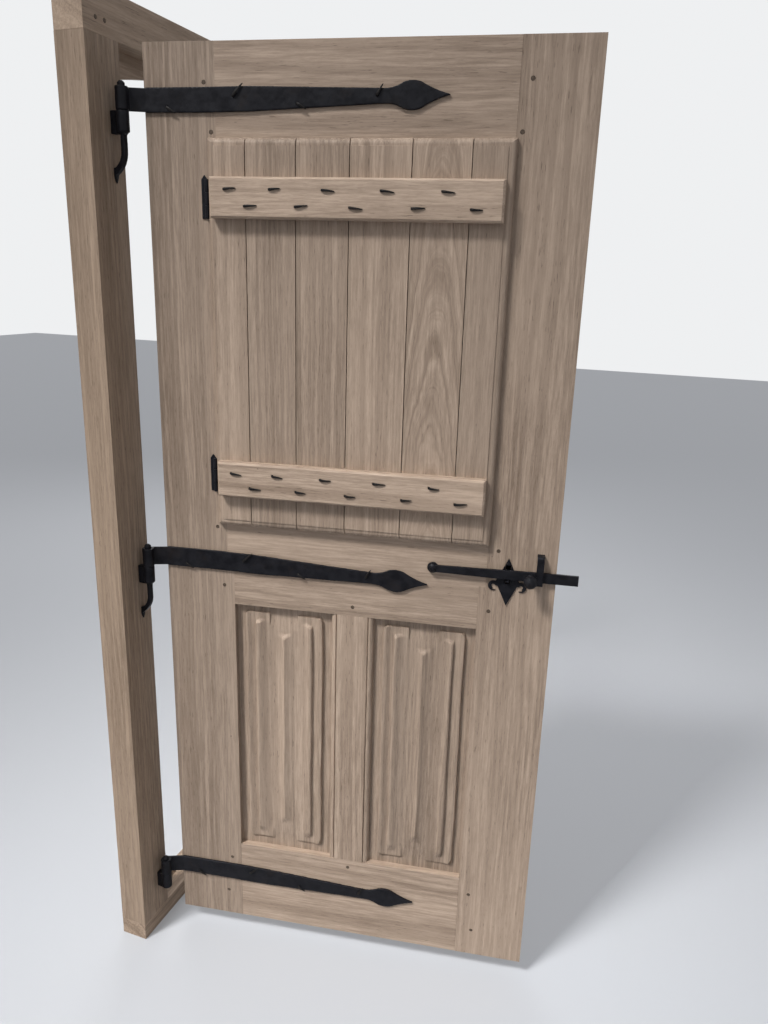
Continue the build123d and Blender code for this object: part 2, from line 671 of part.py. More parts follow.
with BuildPart() as leaf_pegs:
    extrude(peg_ends(face_plane(), leaf_pegs_at), amount=-PEG_L)
save(leaf_pegs, "leaf_pegs")

# Glass, held in its rebate by four bevelled beads
rebate_x = (LEFT_STILE - REBATE_W, RIGHT_STILE + REBATE_W)
rebate_z = (LOCK_TOP, TOP_RAIL_Z)
glass_near = REBATE_D - GLASS_T
with BuildPart() as glass_pane:
    leaf_board(rebate_x[0] + GLASS_GAP, rebate_x[1] - GLASS_GAP, rebate_z[0] + GLASS_GAP,
               rebate_z[1] - GLASS_GAP, glass_near, REBATE_D)
save(glass_pane, "glass_pane")


def upright_bead(x, side):
    """A glazing bead against one side of the rebate."""
    with BuildPart() as bead:
        profile = loop(plan_plane(rebate_z[0] + BEAD_W, x), (0, BEAD_SUNK),
                       (side * (BEAD_W - BEAD_BEVEL), BEAD_SUNK), (side * BEAD_W, BEAD_SUNK + BEAD_BEVEL),
                       (side * BEAD_W, glass_near), (0, glass_near))
        extrude(profile, amount=(rebate_z[1] - rebate_z[0] - 2 * BEAD_W) * profile.faces()[0].normal_at().Z)
    return bead


def level_bead(z, way):
    """A glazing bead along the foot or the head of the rebate."""
    with BuildPart() as bead:
        profile = loop(side_plane(rebate_x[0], 0, z), (BEAD_SUNK, 0),
                       (BEAD_SUNK, way * (BEAD_W - BEAD_BEVEL)), (BEAD_SUNK + BEAD_BEVEL, way * BEAD_W),
                       (glass_near, way * BEAD_W), (glass_near, 0))
        run = rebate_x[1] - rebate_x[0]
        extrude(profile, amount=run * profile.faces()[0].normal_at().dot(across))
    return bead


save(upright_bead(rebate_x[0], 1), "bead_left")
save(upright_bead(rebate_x[1], -1), "bead_right")
save(level_bead(rebate_z[0], 1), "bead_bottom")
save(level_bead(rebate_z[1], -1), "bead_top")


def strap_half(side, sag):
    """One edge of a strap's outline, from the crank to the tip: parallel, drawn down to a neck,
    and spread again to a spear."""
    wide = side * STRAP_H / 2
    neck = side * STRAP_NECK_H / 2
    spear = side * STRAP_SPEAR_H / 2
    near_x = STRAP_SPEAR_X - STRAP_SPEAR_L / 2
    far_x = STRAP_SPEAR_X + STRAP_SPEAR_L / 2
    near = (near_x, 0.88 * spear + strap_line(near_x, sag))
    far = (far_x, 0.88 * spear + strap_line(far_x, sag))
    neck_end = (STRAP_NECK_X, neck + strap_line(STRAP_NECK_X, sag))
    tip = (STRAP_TIP_X, sag)
    hollow_x = (STRAP_NECK_X + near_x) / 2
    horn_x = (far_x + STRAP_TIP_X) / 2
    Polyline((STRAP_CRANK_X, 0), (STRAP_CRANK_X, wide), (STRAP_SAG_X, wide),
             (STRAP_TAPER_X, wide + strap_line(STRAP_TAPER_X, sag)), neck_end)
    ThreePointArc(neck_end, (hollow_x, 0.58 * spear + strap_line(hollow_x, sag)), near)
    ThreePointArc(near, (STRAP_SPEAR_X, spear + strap_line(STRAP_SPEAR_X, sag)), far)
    ThreePointArc(far, (horn_x, 0.34 * spear + strap_line(horn_x, sag)), tip)


def strap_hinge(strap_z, sag):
    """A forged strap: flat on the leaf, spear-pointed, cranked at the edge and rolled to an eye."""
    with BuildPart() as strap:
        for side in (-1, 1):
            with BuildSketch(face_plane(z=strap_z)):
                with BuildLine():
                    strap_half(side, sag)
                    Line((STRAP_TIP_X, sag), (STRAP_CRANK_X, 0))
                make_face()
            extrude(amount=STRAP_T)
        # The crank runs straight from the leaf's edge and meets the back of the eye at a tangent
        run = STRAP_CRANK_X + PIN_FROM_LEAF
        reach = hypot(run, PIN_OUT)
        slant = atan2(PIN_OUT, run) - asin(EYE_R / reach)
        length = (reach ** 2 - EYE_R ** 2) ** 0.5
        touch = (STRAP_CRANK_X - length * cos(slant), -length * sin(slant))
        outer = (touch[0] + STRAP_T * sin(slant), touch[1] - STRAP_T * cos(slant))
        with BuildSketch(plan_plane(strap_z - EYE_H / 2)):
            with BuildLine():
                Polyline((STRAP_CRANK_X, 0), touch, outer, (STRAP_CRANK_X, -STRAP_T), close=True)
            make_face()
            with Locations((-PIN_FROM_LEAF, -PIN_OUT)):
                Circle(EYE_R)
                Circle(PIN_R + PIN_FIT, mode=Mode.SUBTRACT)
        extrude(amount=EYE_H)
        shanks = nail_ends(face_plane(), strap_shanks(strap_z, sag), NAIL_W + 2 * NAIL_HOLE)
        extrude(shanks, amount=STRAP_T, mode=Mode.SUBTRACT)
    return strap


for place, strap_z, sag in zip(("bottom", "middle", "top"), STRAP_Z, STRAP_SAG):
    save(strap_hinge(strap_z, sag), f"strap_{place}")


def clench(x, z, tip_x, tip_z, depth, root_w):
    """The end of a nail, hammered flat from the point where it comes out to its tip."""
    run = Vector(tip_x - x, tip_z - z)
    length = run.length
    along = across * (run.X / length) + up * (run.Y / length)
    flat = Plane(origin=spot(x, depth, z), x_dir=along, z_dir=-inward)
    outline = loop(flat, (-root_w / 2, -root_w / 2), (root_w, -root_w / 2), (length, -CLINCH_TIP_W / 2),
                   (length, CLINCH_TIP_W / 2), (root_w, root_w / 2), (-root_w / 2, root_w / 2))
    extrude(outline, amount=CLINCH_T)


# Strap nails: driven from the street side, with a faceted head there, and clenched on the strap
with BuildPart() as strap_nails:
    for strap_z, sag in zip(STRAP_Z, STRAP_SAG):
        shanks_at = strap_shanks(strap_z, sag)
        extrude(nail_ends(face_plane(-STRAP_T), shanks_at, NAIL_W), amount=-STRAP_T - LEAF_T)
        extrude(nail_ends(face_plane(LEAF_T), shanks_at, NAIL_HEAD_W), amount=-NAIL_HEAD_T, taper=38)
        for (x, z), (nail_x, rise, tip_x, tip_rise) in zip(shanks_at, strap_nails_at):
            clench(x, z, tip_x, z - rise + tip_rise, -STRAP_T, NAIL_W + 2)
save(strap_nails, "strap_nails")

# Shutter: the moulded board that its planks are cut from
board_x = (SHUTTER_X, SHUTTER_X + SHUTTER_W)
board_face = face_plane(-SHUTTER_GAP)
with BuildPart(mode=Mode.PRIVATE) as shutter_board:
    extrude(rectangle(board_face, board_x[0], SHUTTER_Z, board_x[1], SHUTTER_TOP),
            amount=PLANK_T - FIELD_RISE)
    fillet(shutter_board.faces().sort_by(to_room)[-1].edges(), OVOLO_R)
    extrude(rectangle(board_face, board_x[0] + FIELD_IN, SHUTTER_Z + FIELD_IN,
                      board_x[1] - FIELD_IN, SHUTTER_TOP - FIELD_IN), amount=PLANK_T)

# Joints between the planks, as shares of the shutter's width because the planks are random widths
PLANK_JOINTS = (0.133, 0.303, 0.480, 0.680, 0.867)
joint_x = [SHUTTER_X + SHUTTER_W * share for share in PLANK_JOINTS]
plank_edges = [SHUTTER_X] + joint_x + [SHUTTER_X + SHUTTER_W]
plank_nails_at = []
batten_z = (SHUTTER_Z + BATTEN_FROM_END, SHUTTER_TOP - BATTEN_FROM_END - BATTEN_H)
for low in batten_z:
    for index in range(len(plank_edges) - 1):
        width = plank_edges[index + 1] - plank_edges[index]
        start = plank_edges[index]
        if index < len(plank_edges) - 2:
            plank_nails_at.append((start + NAIL_HIGH_SHARE * width, low + BATTEN_H / 2 + NAIL_ROW))
        if index > 0:
            plank_nails_at.append((start + NAIL_LOW_SHARE * width, low + BATTEN_H / 2 - NAIL_ROW))


def cut_plank_nails(near, far):
    """Square holes for the batten nails between two depths."""
    shanks = nail_ends(face_plane(near), plank_nails_at, NAIL_W + 2 * NAIL_HOLE)
    extrude(shanks, amount=near - far, mode=Mode.SUBTRACT)


def plank(index):
    """One plank of the shutter, tongued on one edge and grooved on the other."""
    x0, x1 = plank_edges[index], plank_edges[index + 1]
    mid = -SHUTTER_GAP - PLANK_T * 0.4
    half = PLANK_TONGUE_T / 2
    with BuildPart() as piece:
        leaf_board(x0, x1, SHUTTER_Z, SHUTTER_TOP, SHUTTER_FRONT, -SHUTTER_GAP)
        if index < len(plank_edges) - 2:
            leaf_board(x1, x1 + PLANK_TONGUE_L, SHUTTER_Z, SHUTTER_TOP, mid - half, mid + half)
        add(shutter_board.part, mode=Mode.INTERSECT)
        if index > 0:
            half += PLANK_SPARE
            leaf_board(x0, x0 + PLANK_TONGUE_L + PLANK_SPARE, SHUTTER_Z, SHUTTER_TOP,
                       mid - half, mid + half, Mode.SUBTRACT)
        else:
            for z in batten_z:
                leaf_board(x0, x0 + WING_W, z, z + HINGE_H, -SHUTTER_GAP - HINGE_T, -SHUTTER_GAP,
                           Mode.SUBTRACT)
        cut_plank_nails(SHUTTER_FRONT, -SHUTTER_GAP)
    return piece


for index in range(len(plank_edges) - 1):
    save(plank(index), f"shutter_plank_{index + 1}")


def batten(low):
    """A batten across the planks, bevelled all round its front."""
    front = SHUTTER_FRONT - BATTEN_T
    with BuildPart() as piece:
        leaf_board(board_x[0] + BATTEN_IN, board_x[1] - BATTEN_IN - FIELD_RISE, low, low + BATTEN_H,
                   front, SHUTTER_FRONT)
        chamfer(piece.faces().sort_by(to_room)[-1].edges(), BATTEN_BEVEL)
        cut_plank_nails(front, SHUTTER_FRONT)
    return piece


save(batten(batten_z[0]), "batten_bottom")
save(batten(batten_z[1]), "batten_top")

with BuildPart() as batten_nails:
    front = SHUTTER_FRONT - BATTEN_T
    extrude(nail_ends(face_plane(front), plank_nails_at, NAIL_W), amount=front + SHUTTER_GAP)
    for x, z in plank_nails_at:
        clench(x, z, x + CLINCH_L, z + CLINCH_RISE, front, CLINCH_W)
save(batten_nails, "batten_nails")

# Butt hinges of the shutter
hinge_x = SHUTTER_X - KNUCKLE_R - SHUTTER_GAP
knuckle_h = HINGE_H / 3


def fixed_hinge(low):
    """The half on the stile, with its pin, cut to a point above."""
    with BuildPart() as half:
        point = 2 * HINGE_PLATE_W / 3
        plate = loop(face_plane(), (hinge_x - HINGE_PLATE_W, low), (hinge_x, low), (hinge_x, low + HINGE_H),
                     (hinge_x - HINGE_PLATE_W / 2, low + HINGE_H + point),
                     (hinge_x - HINGE_PLATE_W, low + HINGE_H))
        extrude(plate, amount=HINGE_T)
        extrude(disc(plan_plane(low), hinge_x, -HINGE_PIN_OUT, KNUCKLE_R), amount=HINGE_H)
        reach = KNUCKLE_R + KNUCKLE_GAP
        leaf_board(hinge_x - reach, hinge_x + reach, low + knuckle_h - KNUCKLE_GAP,
                   low + 2 * knuckle_h + KNUCKLE_GAP, -HINGE_PIN_OUT - reach, 0, Mode.SUBTRACT)
        extrude(disc(plan_plane(low), hinge_x, -HINGE_PIN_OUT, HINGE_PIN_R), amount=HINGE_H)
    return half


def moving_hinge(low):
    """The half on the shutter: one knuckle round the pin and a wing let into the outer plank."""
    with BuildPart() as half:
        extrude(disc(plan_plane(low + knuckle_h), hinge_x, -HINGE_PIN_OUT, KNUCKLE_R), amount=knuckle_h)
        leaf_board(hinge_x, SHUTTER_X, low + knuckle_h, low + 2 * knuckle_h,
                   -SHUTTER_GAP - HINGE_T, -SHUTTER_GAP)
        leaf_board(SHUTTER_X, SHUTTER_X + WING_W, low, low + HINGE_H,
                   -SHUTTER_GAP - HINGE_T, -SHUTTER_GAP)
        drill(plan_plane(low + HINGE_H), hinge_x, -HINGE_PIN_OUT, HINGE_PIN_R + PIN_FIT, HINGE_H)
    return half


for place, low in zip(("bottom", "top"), batten_z):
    save(fixed_hinge(low), f"shutter_hinge_fixed_{place}")
    save(moving_hinge(low), f"shutter_hinge_wing_{place}")

# Latch bar: pivots at its round end and widens towards the tip
with BuildPart() as latch_bar:
    with BuildSketch(Plane(origin=spot(BAR_PIVOT_X, -SHUTTER_GAP, BAR_Z), x_dir=up, z_dir=across)):
        with BuildLine():
            Polyline((0, 0), (0.9 * BALL_R, 0), (BALL_R, BALL_T / 4), (0.93 * BALL_R, BALL_T / 2),
                     (0.75 * BALL_R, 0.8 * BALL_T), (BAR_PIN_R * 1.6, BALL_T), (0, BALL_T), close=True)
        make_face()
    revolve(axis=Axis(origin=spot(BAR_PIVOT_X, -SHUTTER_GAP, BAR_Z), direction=inward * -1))
    bar = loop(face_plane(-BAR_OUT, z=BAR_Z), (BAR_PIVOT_X, -BAR_ROOT_H / 2), (KEEPER_X, -BAR_TIP_H / 2),
               (BAR_END_X, -BAR_TIP_H / 2), (BAR_END_X, BAR_TIP_H / 2), (KEEPER_X, BAR_TIP_H / 2),
               (BAR_PIVOT_X, BAR_ROOT_H / 2))
    extrude(bar, amount=BAR_T)
    drill(face_plane(-SHUTTER_GAP - BALL_T), BAR_PIVOT_X, BAR_Z, BAR_PIN_R + PIN_FIT, BALL_T)
save(latch_bar, "latch_bar")

# Knob of the bar: a forged ball on a short stem with a collar
with BuildPart() as latch_knob:
    ball = KNOB_L - KNOB_R
    knob_foot = -BAR_OUT - BAR_T
    with BuildSketch(Plane(origin=spot(KNOB_X, knob_foot, BAR_Z), x_dir=up, z_dir=across)):
        with BuildLine():
            Polyline((0, 0), (KNOB_STEM_R + KNOB_COLLAR, 0), (KNOB_STEM_R + KNOB_COLLAR, KNOB_COLLAR),
                     (KNOB_STEM_R, 2 * KNOB_COLLAR), (KNOB_STEM_R, ball - 0.92 * KNOB_R),
                     (0.8 * KNOB_R, ball - 0.6 * KNOB_R), (KNOB_R, ball - 0.15 * KNOB_R),
                     (0.97 * KNOB_R, ball + 0.3 * KNOB_R), (0.7 * KNOB_R, ball + 0.75 * KNOB_R),
                     (0.3 * KNOB_R, KNOB_L), (0, KNOB_L), close=True)
        make_face()
    revolve(axis=Axis(origin=spot(KNOB_X, knob_foot, BAR_Z), direction=inward * -1))
save(latch_knob, "latch_knob")

with BuildPart() as latch_pivot:
    extrude(disc(face_plane(BAR_PIN_L), BAR_PIVOT_X, BAR_Z, BAR_PIN_R),
            amount=BAR_PIN_L + SHUTTER_GAP + BALL_T + EYE_GAP)
    cap = disc(face_plane(-SHUTTER_GAP - BALL_T - EYE_GAP), BAR_PIVOT_X, BAR_Z, BAR_PIN_R * 1.6)
    extrude(cap, amount=PIVOT_CAP_T, taper=30)
save(latch_pivot, "latch_pivot")

# Inside plate of the latch: a diamond with a scroll at each side, slotted for the lever
with BuildPart() as latch_plate:
    plate_z = BAR_Z - PLATE_H * 0.175
    with BuildSketch(face_plane(x=LEVER_X, z=plate_z)):
        with BuildLine():
            Polyline((0, PLATE_H / 2), (PLATE_W / 2, 0), (0, -PLATE_H / 2), (-PLATE_W / 2, 0), close=True)
        make_face()
        for side in (-1, 1):
            with Locations((side * (PLATE_W / 2 + SCROLL_R * 0.55), -SCROLL_R)):
                Circle(SCROLL_R)
                Circle(SCROLL_R - SCROLL_W, mode=Mode.SUBTRACT)
            with Locations((side * (PLATE_W / 2 + SCROLL_R * 0.2), -SCROLL_R * 1.35)):
                Rectangle(SCROLL_R * 1.3, SCROLL_R * 1.1, mode=Mode.SUBTRACT)
        with BuildLine():
            Polyline((0, PLATE_H / 2), (PLATE_W / 2, 0), (0, -PLATE_H / 2), (-PLATE_W / 2, 0), close=True)
        make_face()
    extrude(amount=PLATE_T)
    leaf_board(LEVER_X - SLOT_W / 2, LEVER_X + SLOT_W / 2, lever_z - SLOT_DOWN / 2, lever_z + SLOT_UP,
               -PLATE_T, 0, Mode.SUBTRACT)
save(latch_plate, "latch_plate")

# Keeper: a staple that the bar rides in
with BuildPart() as latch_keeper:
    high = keeper_low + 2 * KEEPER_T + KEEPER_RISE + BAR_TIP_H
    side = side_plane(KEEPER_X - KEEPER_W / 2)
    staple = loop(side, (KEEPER_PRONG, keeper_low), (KEEPER_PRONG, keeper_low + KEEPER_T),
                  (KEEPER_T - KEEPER_OUT, keeper_low + KEEPER_T), (KEEPER_T - KEEPER_OUT, high - KEEPER_T),
                  (KEEPER_PRONG, high - KEEPER_T), (KEEPER_PRONG, high), (-KEEPER_OUT + 4, high),
                  (-KEEPER_OUT, high - 4), (-KEEPER_OUT, keeper_low + 2), (-KEEPER_OUT + 2, keeper_low))
    extrude(staple, amount=KEEPER_W * staple.faces()[0].normal_at().dot(across))
save(latch_keeper, "latch_keeper")

# Street side: a long plate, a grip and the thumb lever's pad
pivot_depth = LEAF_T + PLATE_T + LEVER_PIN_R + 2
with BuildPart() as outer_plate:
    with BuildSketch(face_plane(LEAF_T, LEVER_X, lever_z - OUTER_PLATE_H * 0.3)):
        RectangleRounded(OUTER_PLATE_W, OUTER_PLATE_H, OUTER_PLATE_W * 0.45)
    extrude(amount=-PLATE_T)
    leaf_board(LEVER_X - SLOT_W / 2, LEVER_X + SLOT_W / 2, lever_z - SLOT_DOWN, lever_z + SLOT_DOWN,
               LEAF_T, LEAF_T + PLATE_T, Mode.SUBTRACT)
    ear = LEVER_PIN_R + 3
    for x in (LEVER_X - SLOT_W / 2 - 4, LEVER_X + SLOT_W / 2):
        leaf_board(x, x + 4, lever_z - ear, lever_z + ear, LEAF_T, pivot_depth + ear)
        extrude(disc(side_plane(x), pivot_depth, lever_z, LEVER_PIN_R), amount=4, mode=Mode.SUBTRACT)
save(outer_plate, "outer_plate")

with BuildPart() as lever_pin:
    x = LEVER_X - SLOT_W / 2 - 5
    extrude(disc(side_plane(x), pivot_depth, lever_z, LEVER_PIN_R), amount=SLOT_W + 10)
save(lever_pin, "lever_pin")

with BuildPart() as thumb_lever:
    tip = pivot_depth - LEVER_ARM
    side = side_plane(LEVER_X - LEVER_T / 2, 0, lever_z)
    half = LEVER_H / 2
    blade = loop(side, (tip, half), (tip, 0), (tip + 6, -half), (pivot_depth + 4, -half),
                 (pivot_depth + LEVER_PAD_L * 0.5, -half + 2), (pivot_depth + LEVER_PAD_L * 0.5, half - 2),
                 (pivot_depth + 4, half))
    extrude(blade, amount=LEVER_T * blade.faces()[0].normal_at().dot(across))
    pad_mid = pivot_depth + LEVER_PAD_L * 0.65
    with BuildSketch(plan_plane(lever_z + half - 5, LEVER_X, pad_mid)):
        Ellipse(LEVER_PAD_W / 2, LEVER_PAD_L * 0.35)
    extrude(amount=3)
    extrude(disc(side_plane(LEVER_X - LEVER_T / 2), pivot_depth, lever_z, LEVER_PIN_R + 3),
            amount=LEVER_T)
    extrude(disc(side_plane(LEVER_X - LEVER_T / 2), pivot_depth, lever_z, LEVER_PIN_R + PIN_FIT),
            amount=LEVER_T, mode=Mode.SUBTRACT)
save(thumb_lever, "thumb_lever")

# Pull handle: a bow forged from flat bar, its two feet on the outside plate
with BuildPart() as pull_handle:
    foot_depth = LEAF_T + PLATE_T
    bow = foot_depth + HANDLE_OUT
    head_z = lever_z - HANDLE_DROP + HANDLE_T / 2
    low_z = head_z - HANDLE_H
    with BuildSketch(side_plane(LEVER_X - HANDLE_W / 2)) as handle_side:
        with BuildLine():
            mid_z = (head_z + low_z) / 2
            ThreePointArc((foot_depth, head_z), (bow, mid_z), (foot_depth, low_z))
            Line((foot_depth, low_z), (foot_depth, low_z + HANDLE_T))
            ThreePointArc((foot_depth, low_z + HANDLE_T), (bow - HANDLE_T, mid_z),
                          (foot_depth, head_z - HANDLE_T))
            Line((foot_depth, head_z - HANDLE_T), (foot_depth, head_z))
        make_face()
    way = handle_side.sketch.faces()[0].normal_at().dot(across)
    extrude(amount=HANDLE_W * way)
save(pull_handle, "pull_handle")
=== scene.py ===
# %% [markdown]
# # A wooden entrance door with forged ironwork
# The door is a framed oak leaf on three forged strap hinges, standing open in its frame. Its
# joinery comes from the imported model, so this lesson is about surfaces: planed and worn wood,
# carved linenfold, black forged iron, bent nail tips and glass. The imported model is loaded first,
# because every piece made here takes its place from it.

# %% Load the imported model
import json
from math import cos, pi, radians, sin

import bmesh
import bpy
import numpy as np
from mathutils import Matrix, Vector, noise


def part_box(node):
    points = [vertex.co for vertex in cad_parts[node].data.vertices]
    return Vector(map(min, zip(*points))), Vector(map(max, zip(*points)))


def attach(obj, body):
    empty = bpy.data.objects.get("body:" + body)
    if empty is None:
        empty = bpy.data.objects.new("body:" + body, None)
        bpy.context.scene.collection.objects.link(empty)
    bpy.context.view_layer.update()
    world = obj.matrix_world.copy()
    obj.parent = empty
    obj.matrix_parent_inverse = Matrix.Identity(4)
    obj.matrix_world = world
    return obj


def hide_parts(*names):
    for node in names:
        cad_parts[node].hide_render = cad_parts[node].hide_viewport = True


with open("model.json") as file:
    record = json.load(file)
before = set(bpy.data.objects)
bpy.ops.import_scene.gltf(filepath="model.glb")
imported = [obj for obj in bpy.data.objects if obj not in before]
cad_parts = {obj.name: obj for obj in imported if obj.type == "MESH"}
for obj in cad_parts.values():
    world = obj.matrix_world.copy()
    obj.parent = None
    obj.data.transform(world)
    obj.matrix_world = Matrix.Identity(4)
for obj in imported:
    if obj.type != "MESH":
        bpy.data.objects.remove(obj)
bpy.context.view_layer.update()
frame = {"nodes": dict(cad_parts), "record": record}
nodes = frame["nodes"]
record = frame["record"]
bodies = record["behaviour"]["bodies"]
body_of_node = {name: body for body, held in bodies.items() for name in held}
scene = bpy.context.scene

# %% [markdown]
# The leaf stands 80 degrees open, so its boards aren't square to the axes. Everything on it is
# easier to think of in the leaf's own terms: x across it from the hinge edge, depth behind its room
# face and z up from its foot. The foot corner at the hinge edge follows from the hinge stile's box.

# %% The leaf's own axes
MM = 0.001
OPEN = radians(80)
LEAF_T = 45.0
across = Vector((cos(OPEN), -sin(OPEN), 0))
inward = Vector((sin(OPEN), cos(OPEN), 0))
stile_low, stile_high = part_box("hinge_stile")
leaf_corner = Vector((stile_low.x, stile_high.y - LEAF_T * MM * cos(OPEN), stile_low.z))


def on_leaf(x, depth, z):
    """A point of the leaf in metres, from millimetres across, behind and up."""
    return leaf_corner + across * (x * MM) + inward * (depth * MM) + Vector((0, 0, z * MM))


def leaf_terms(point):
    """A point of the room as mm across, behind and up the leaf."""
    offset = point - leaf_corner
    return Vector((offset.dot(across), offset.dot(inward), offset.z)) / MM


print("leaf corner", tuple(round(value, 4) for value in leaf_corner))

# %% [markdown]
# The same small steps come back in every cell below: show a mesh, start a material, scale some
# coordinates, read a noise, shape a value. Each is a function here, so that a material reads as a
# list of steps.

# %% Objects, materials and node groups


def shown(name, data):
    """A new object in the scene that holds a mesh, a lamp or a camera."""
    thing = bpy.data.objects.new(name, data)
    scene.collection.objects.link(thing)
    return thing


def put(tree, target, values):
    """Link sockets and write plain values into a node's inputs, by name or by place."""
    for key, value in values.items():
        if isinstance(value, bpy.types.NodeSocket):
            tree.links.new(value, target.inputs[key])
        else:
            target.inputs[key].default_value = value


def node(tree, kind, values=None, **settings):
    """A new node with its properties set and sockets or values put in."""
    made = tree.nodes.new(kind)
    for key, value in settings.items():
        setattr(made, key, value)
    put(tree, made, values or {})
    return made


def new_material(name):
    """A new material, with its node tree and its Principled shader."""
    material = bpy.data.materials.new(name)
    material.use_nodes = True
    tree = material.node_tree
    return material, tree, tree.nodes["Principled BSDF"]


def new_group(name, inputs, outputs, kind="ShaderNodeTree"):
    """An empty node group with named sockets: (name, type, default) in and (name, type) out."""
    group = bpy.data.node_groups.new(name, kind)
    for title, socket_type, value in inputs:
        socket = group.interface.new_socket(title, in_out="INPUT", socket_type=socket_type)
        if value is not None:
            socket.default_value = value
    for title, socket_type in outputs:
        group.interface.new_socket(title, in_out="OUTPUT", socket_type=socket_type)
    return group, node(group, "NodeGroupInput"), node(group, "NodeGroupOutput")


print("helpers for objects and materials are ready")

# %% [markdown]
# The shader steps take sockets and give back a socket, so they nest like a formula. A Mix node
# keeps a set of sockets for each data type, so its colour sockets are reached by their place.

# %% Shader steps
MIX_FACTOR, MIX_FIRST, MIX_SECOND = 0, 6, 7
MIX_COLOUR_OUT = 2


def math_of(tree, operation, first, second):
    """A Math node on two sockets or numbers."""
    return node(tree, "ShaderNodeMath", {0: first, 1: second}, operation=operation).outputs[0]


def times(tree, first, second):
    """The product of two sockets or numbers."""
    return math_of(tree, "MULTIPLY", first, second)


def plus(tree, first, second):
    """The sum of two sockets or numbers."""
    return math_of(tree, "ADD", first, second)


def stretched(tree, vector, scale):
    """The incoming coordinates scaled on each axis."""
    return node(tree, "ShaderNodeMapping", {"Scale": scale, "Vector": vector}).outputs["Vector"]


def noise_of(tree, vector, scale, detail, roughness=0.55):
    """A noise texture on some coordinates; its factor is returned."""
    values = {"Vector": vector, "Scale": scale, "Detail": detail, "Roughness": roughness}
    return node(tree, "ShaderNodeTexNoise", values).outputs["Fac"]


def ramp(tree, value, low, high, from_low=0.0, from_high=1.0):
    """A smooth change from one number to another as value goes between two limits."""
    values = {"Value": value, "From Min": from_low, "From Max": from_high,
              "To Min": low, "To Max": high}
    made = node(tree, "ShaderNodeMapRange", values, interpolation_type="SMOOTHSTEP")
    return made.outputs["Result"]


def mask(tree, value, from_low, from_high):
    """Zero below one limit, one above the other."""
    return ramp(tree, value, 0.0, 1.0, from_low, from_high)


def mixed(tree, factor, first, second):
    """A colour mix; sockets or colours go in, and the mixed colour comes out."""
    first, second = ((*colour, 1) if isinstance(colour, tuple) else colour
                     for colour in (first, second))
    values = {MIX_FACTOR: factor, MIX_FIRST: first, MIX_SECOND: second}
    return node(tree, "ShaderNodeMix", values, data_type="RGBA").outputs[MIX_COLOUR_OUT]


def bumped(tree, shader, height, strength, distance):
    """Bump a shader's surface by a height socket, over a distance in metres."""
    values = {"Strength": strength, "Distance": distance, "Height": height}
    put(tree, shader, {"Normal": node(tree, "ShaderNodeBump", values).outputs[0]})


print("helpers for shaders are ready")

# %% [markdown]
# The photograph is taken from standing height on the hinge side, looking down a little. The focal
# length, the eye's place and the three directions of view were worked out once from the leaf's
# corners. The camera's matrix is built from those directions, which keeps the slight roll of a
# hand-held view.

# %% Camera
FOCAL_PX = 802.7
PHOTO_H = 1024
EYE_ON_LEAF = (784.3, -1599.1, 1590.9)
view_right = Vector((0.35393, -0.93483, 0.02872))
view_up = Vector((0.25631, 0.12648, 0.95828))
view_ahead = Vector((0.89947, 0.33180, -0.28437))
camera = shown("camera", bpy.data.cameras.new("camera"))
camera.matrix_world = Matrix((view_right, view_up, -view_ahead)).transposed().to_4x4()
camera.matrix_world.translation = on_leaf(*EYE_ON_LEAF)
camera.data.sensor_width = 36
camera.data.lens = camera.data.sensor_width * FOCAL_PX / PHOTO_H
camera.data.clip_start = 0.05
scene.camera = camera
print("camera at", tuple(round(value, 3) for value in camera.matrix_world.translation))

# %% [markdown]
# The light comes from high up and a little from the left, so ledges are bright, every step in the
# wood throws a short shadow below it, and the folds of the panels show. The room lamp looks at the
# leaf's foot and spreads its light narrowly, because the photographed leaf is brightest there. A
# second lamp shapes the street side when it is turned to the view.

# %% Lamps
LAMP_SIZE = 2.2
scene.view_settings.view_transform = "Standard"


def soft_lamp(name, place, target, watts, spread=180):
    """A large square area lamp that looks at a point and spreads its light over some degrees."""
    lamp = shown(name, bpy.data.lights.new(name, "AREA"))
    lamp.data.size = LAMP_SIZE
    lamp.data.energy = watts
    lamp.data.spread = radians(spread)
    lamp.location = place
    lamp.rotation_euler = (Vector(target) - Vector(place)).to_track_quat("-Z", "Y").to_euler()


soft_lamp("room lamp", place=(-6.05, 2.6, 8.6), target=(-0.45, -0.5, 0.1), watts=29, spread=22)
soft_lamp("street lamp", place=(2.8, 1.4, 3.2), target=(-0.2, -0.2, 1.0), watts=60)
print("room lamp and street lamp are lit")

# %% [markdown]
# A pale world fills the shadows, dimly enough for a colour to render about as written. What the
# camera, glass and metal see of the world is a plain near-white. The floor is grey, catches the
# shadows, and is seen a little lighter than its light makes it, so that it stays pale far away.

# %% World and floor
WORLD_STRENGTH = 0.50
WORLD_COLOUR = (0.93, 0.95, 1.0, 1)
BACKDROP_COLOUR = (0.86, 0.87, 0.88, 1)
FLOOR_HALF = 14
FLOOR_GLOW = 0.12


def seen_directly(tree):
    """A socket that is 1 for camera, glossy and transmission rays and 0 for diffuse light."""
    path = node(tree, "ShaderNodeLightPath")
    total = path.outputs["Is Camera Ray"]
    for ray in ("Is Glossy Ray", "Is Transmission Ray"):
        total = math_of(tree, "MAXIMUM", total, path.outputs[ray])
    return total


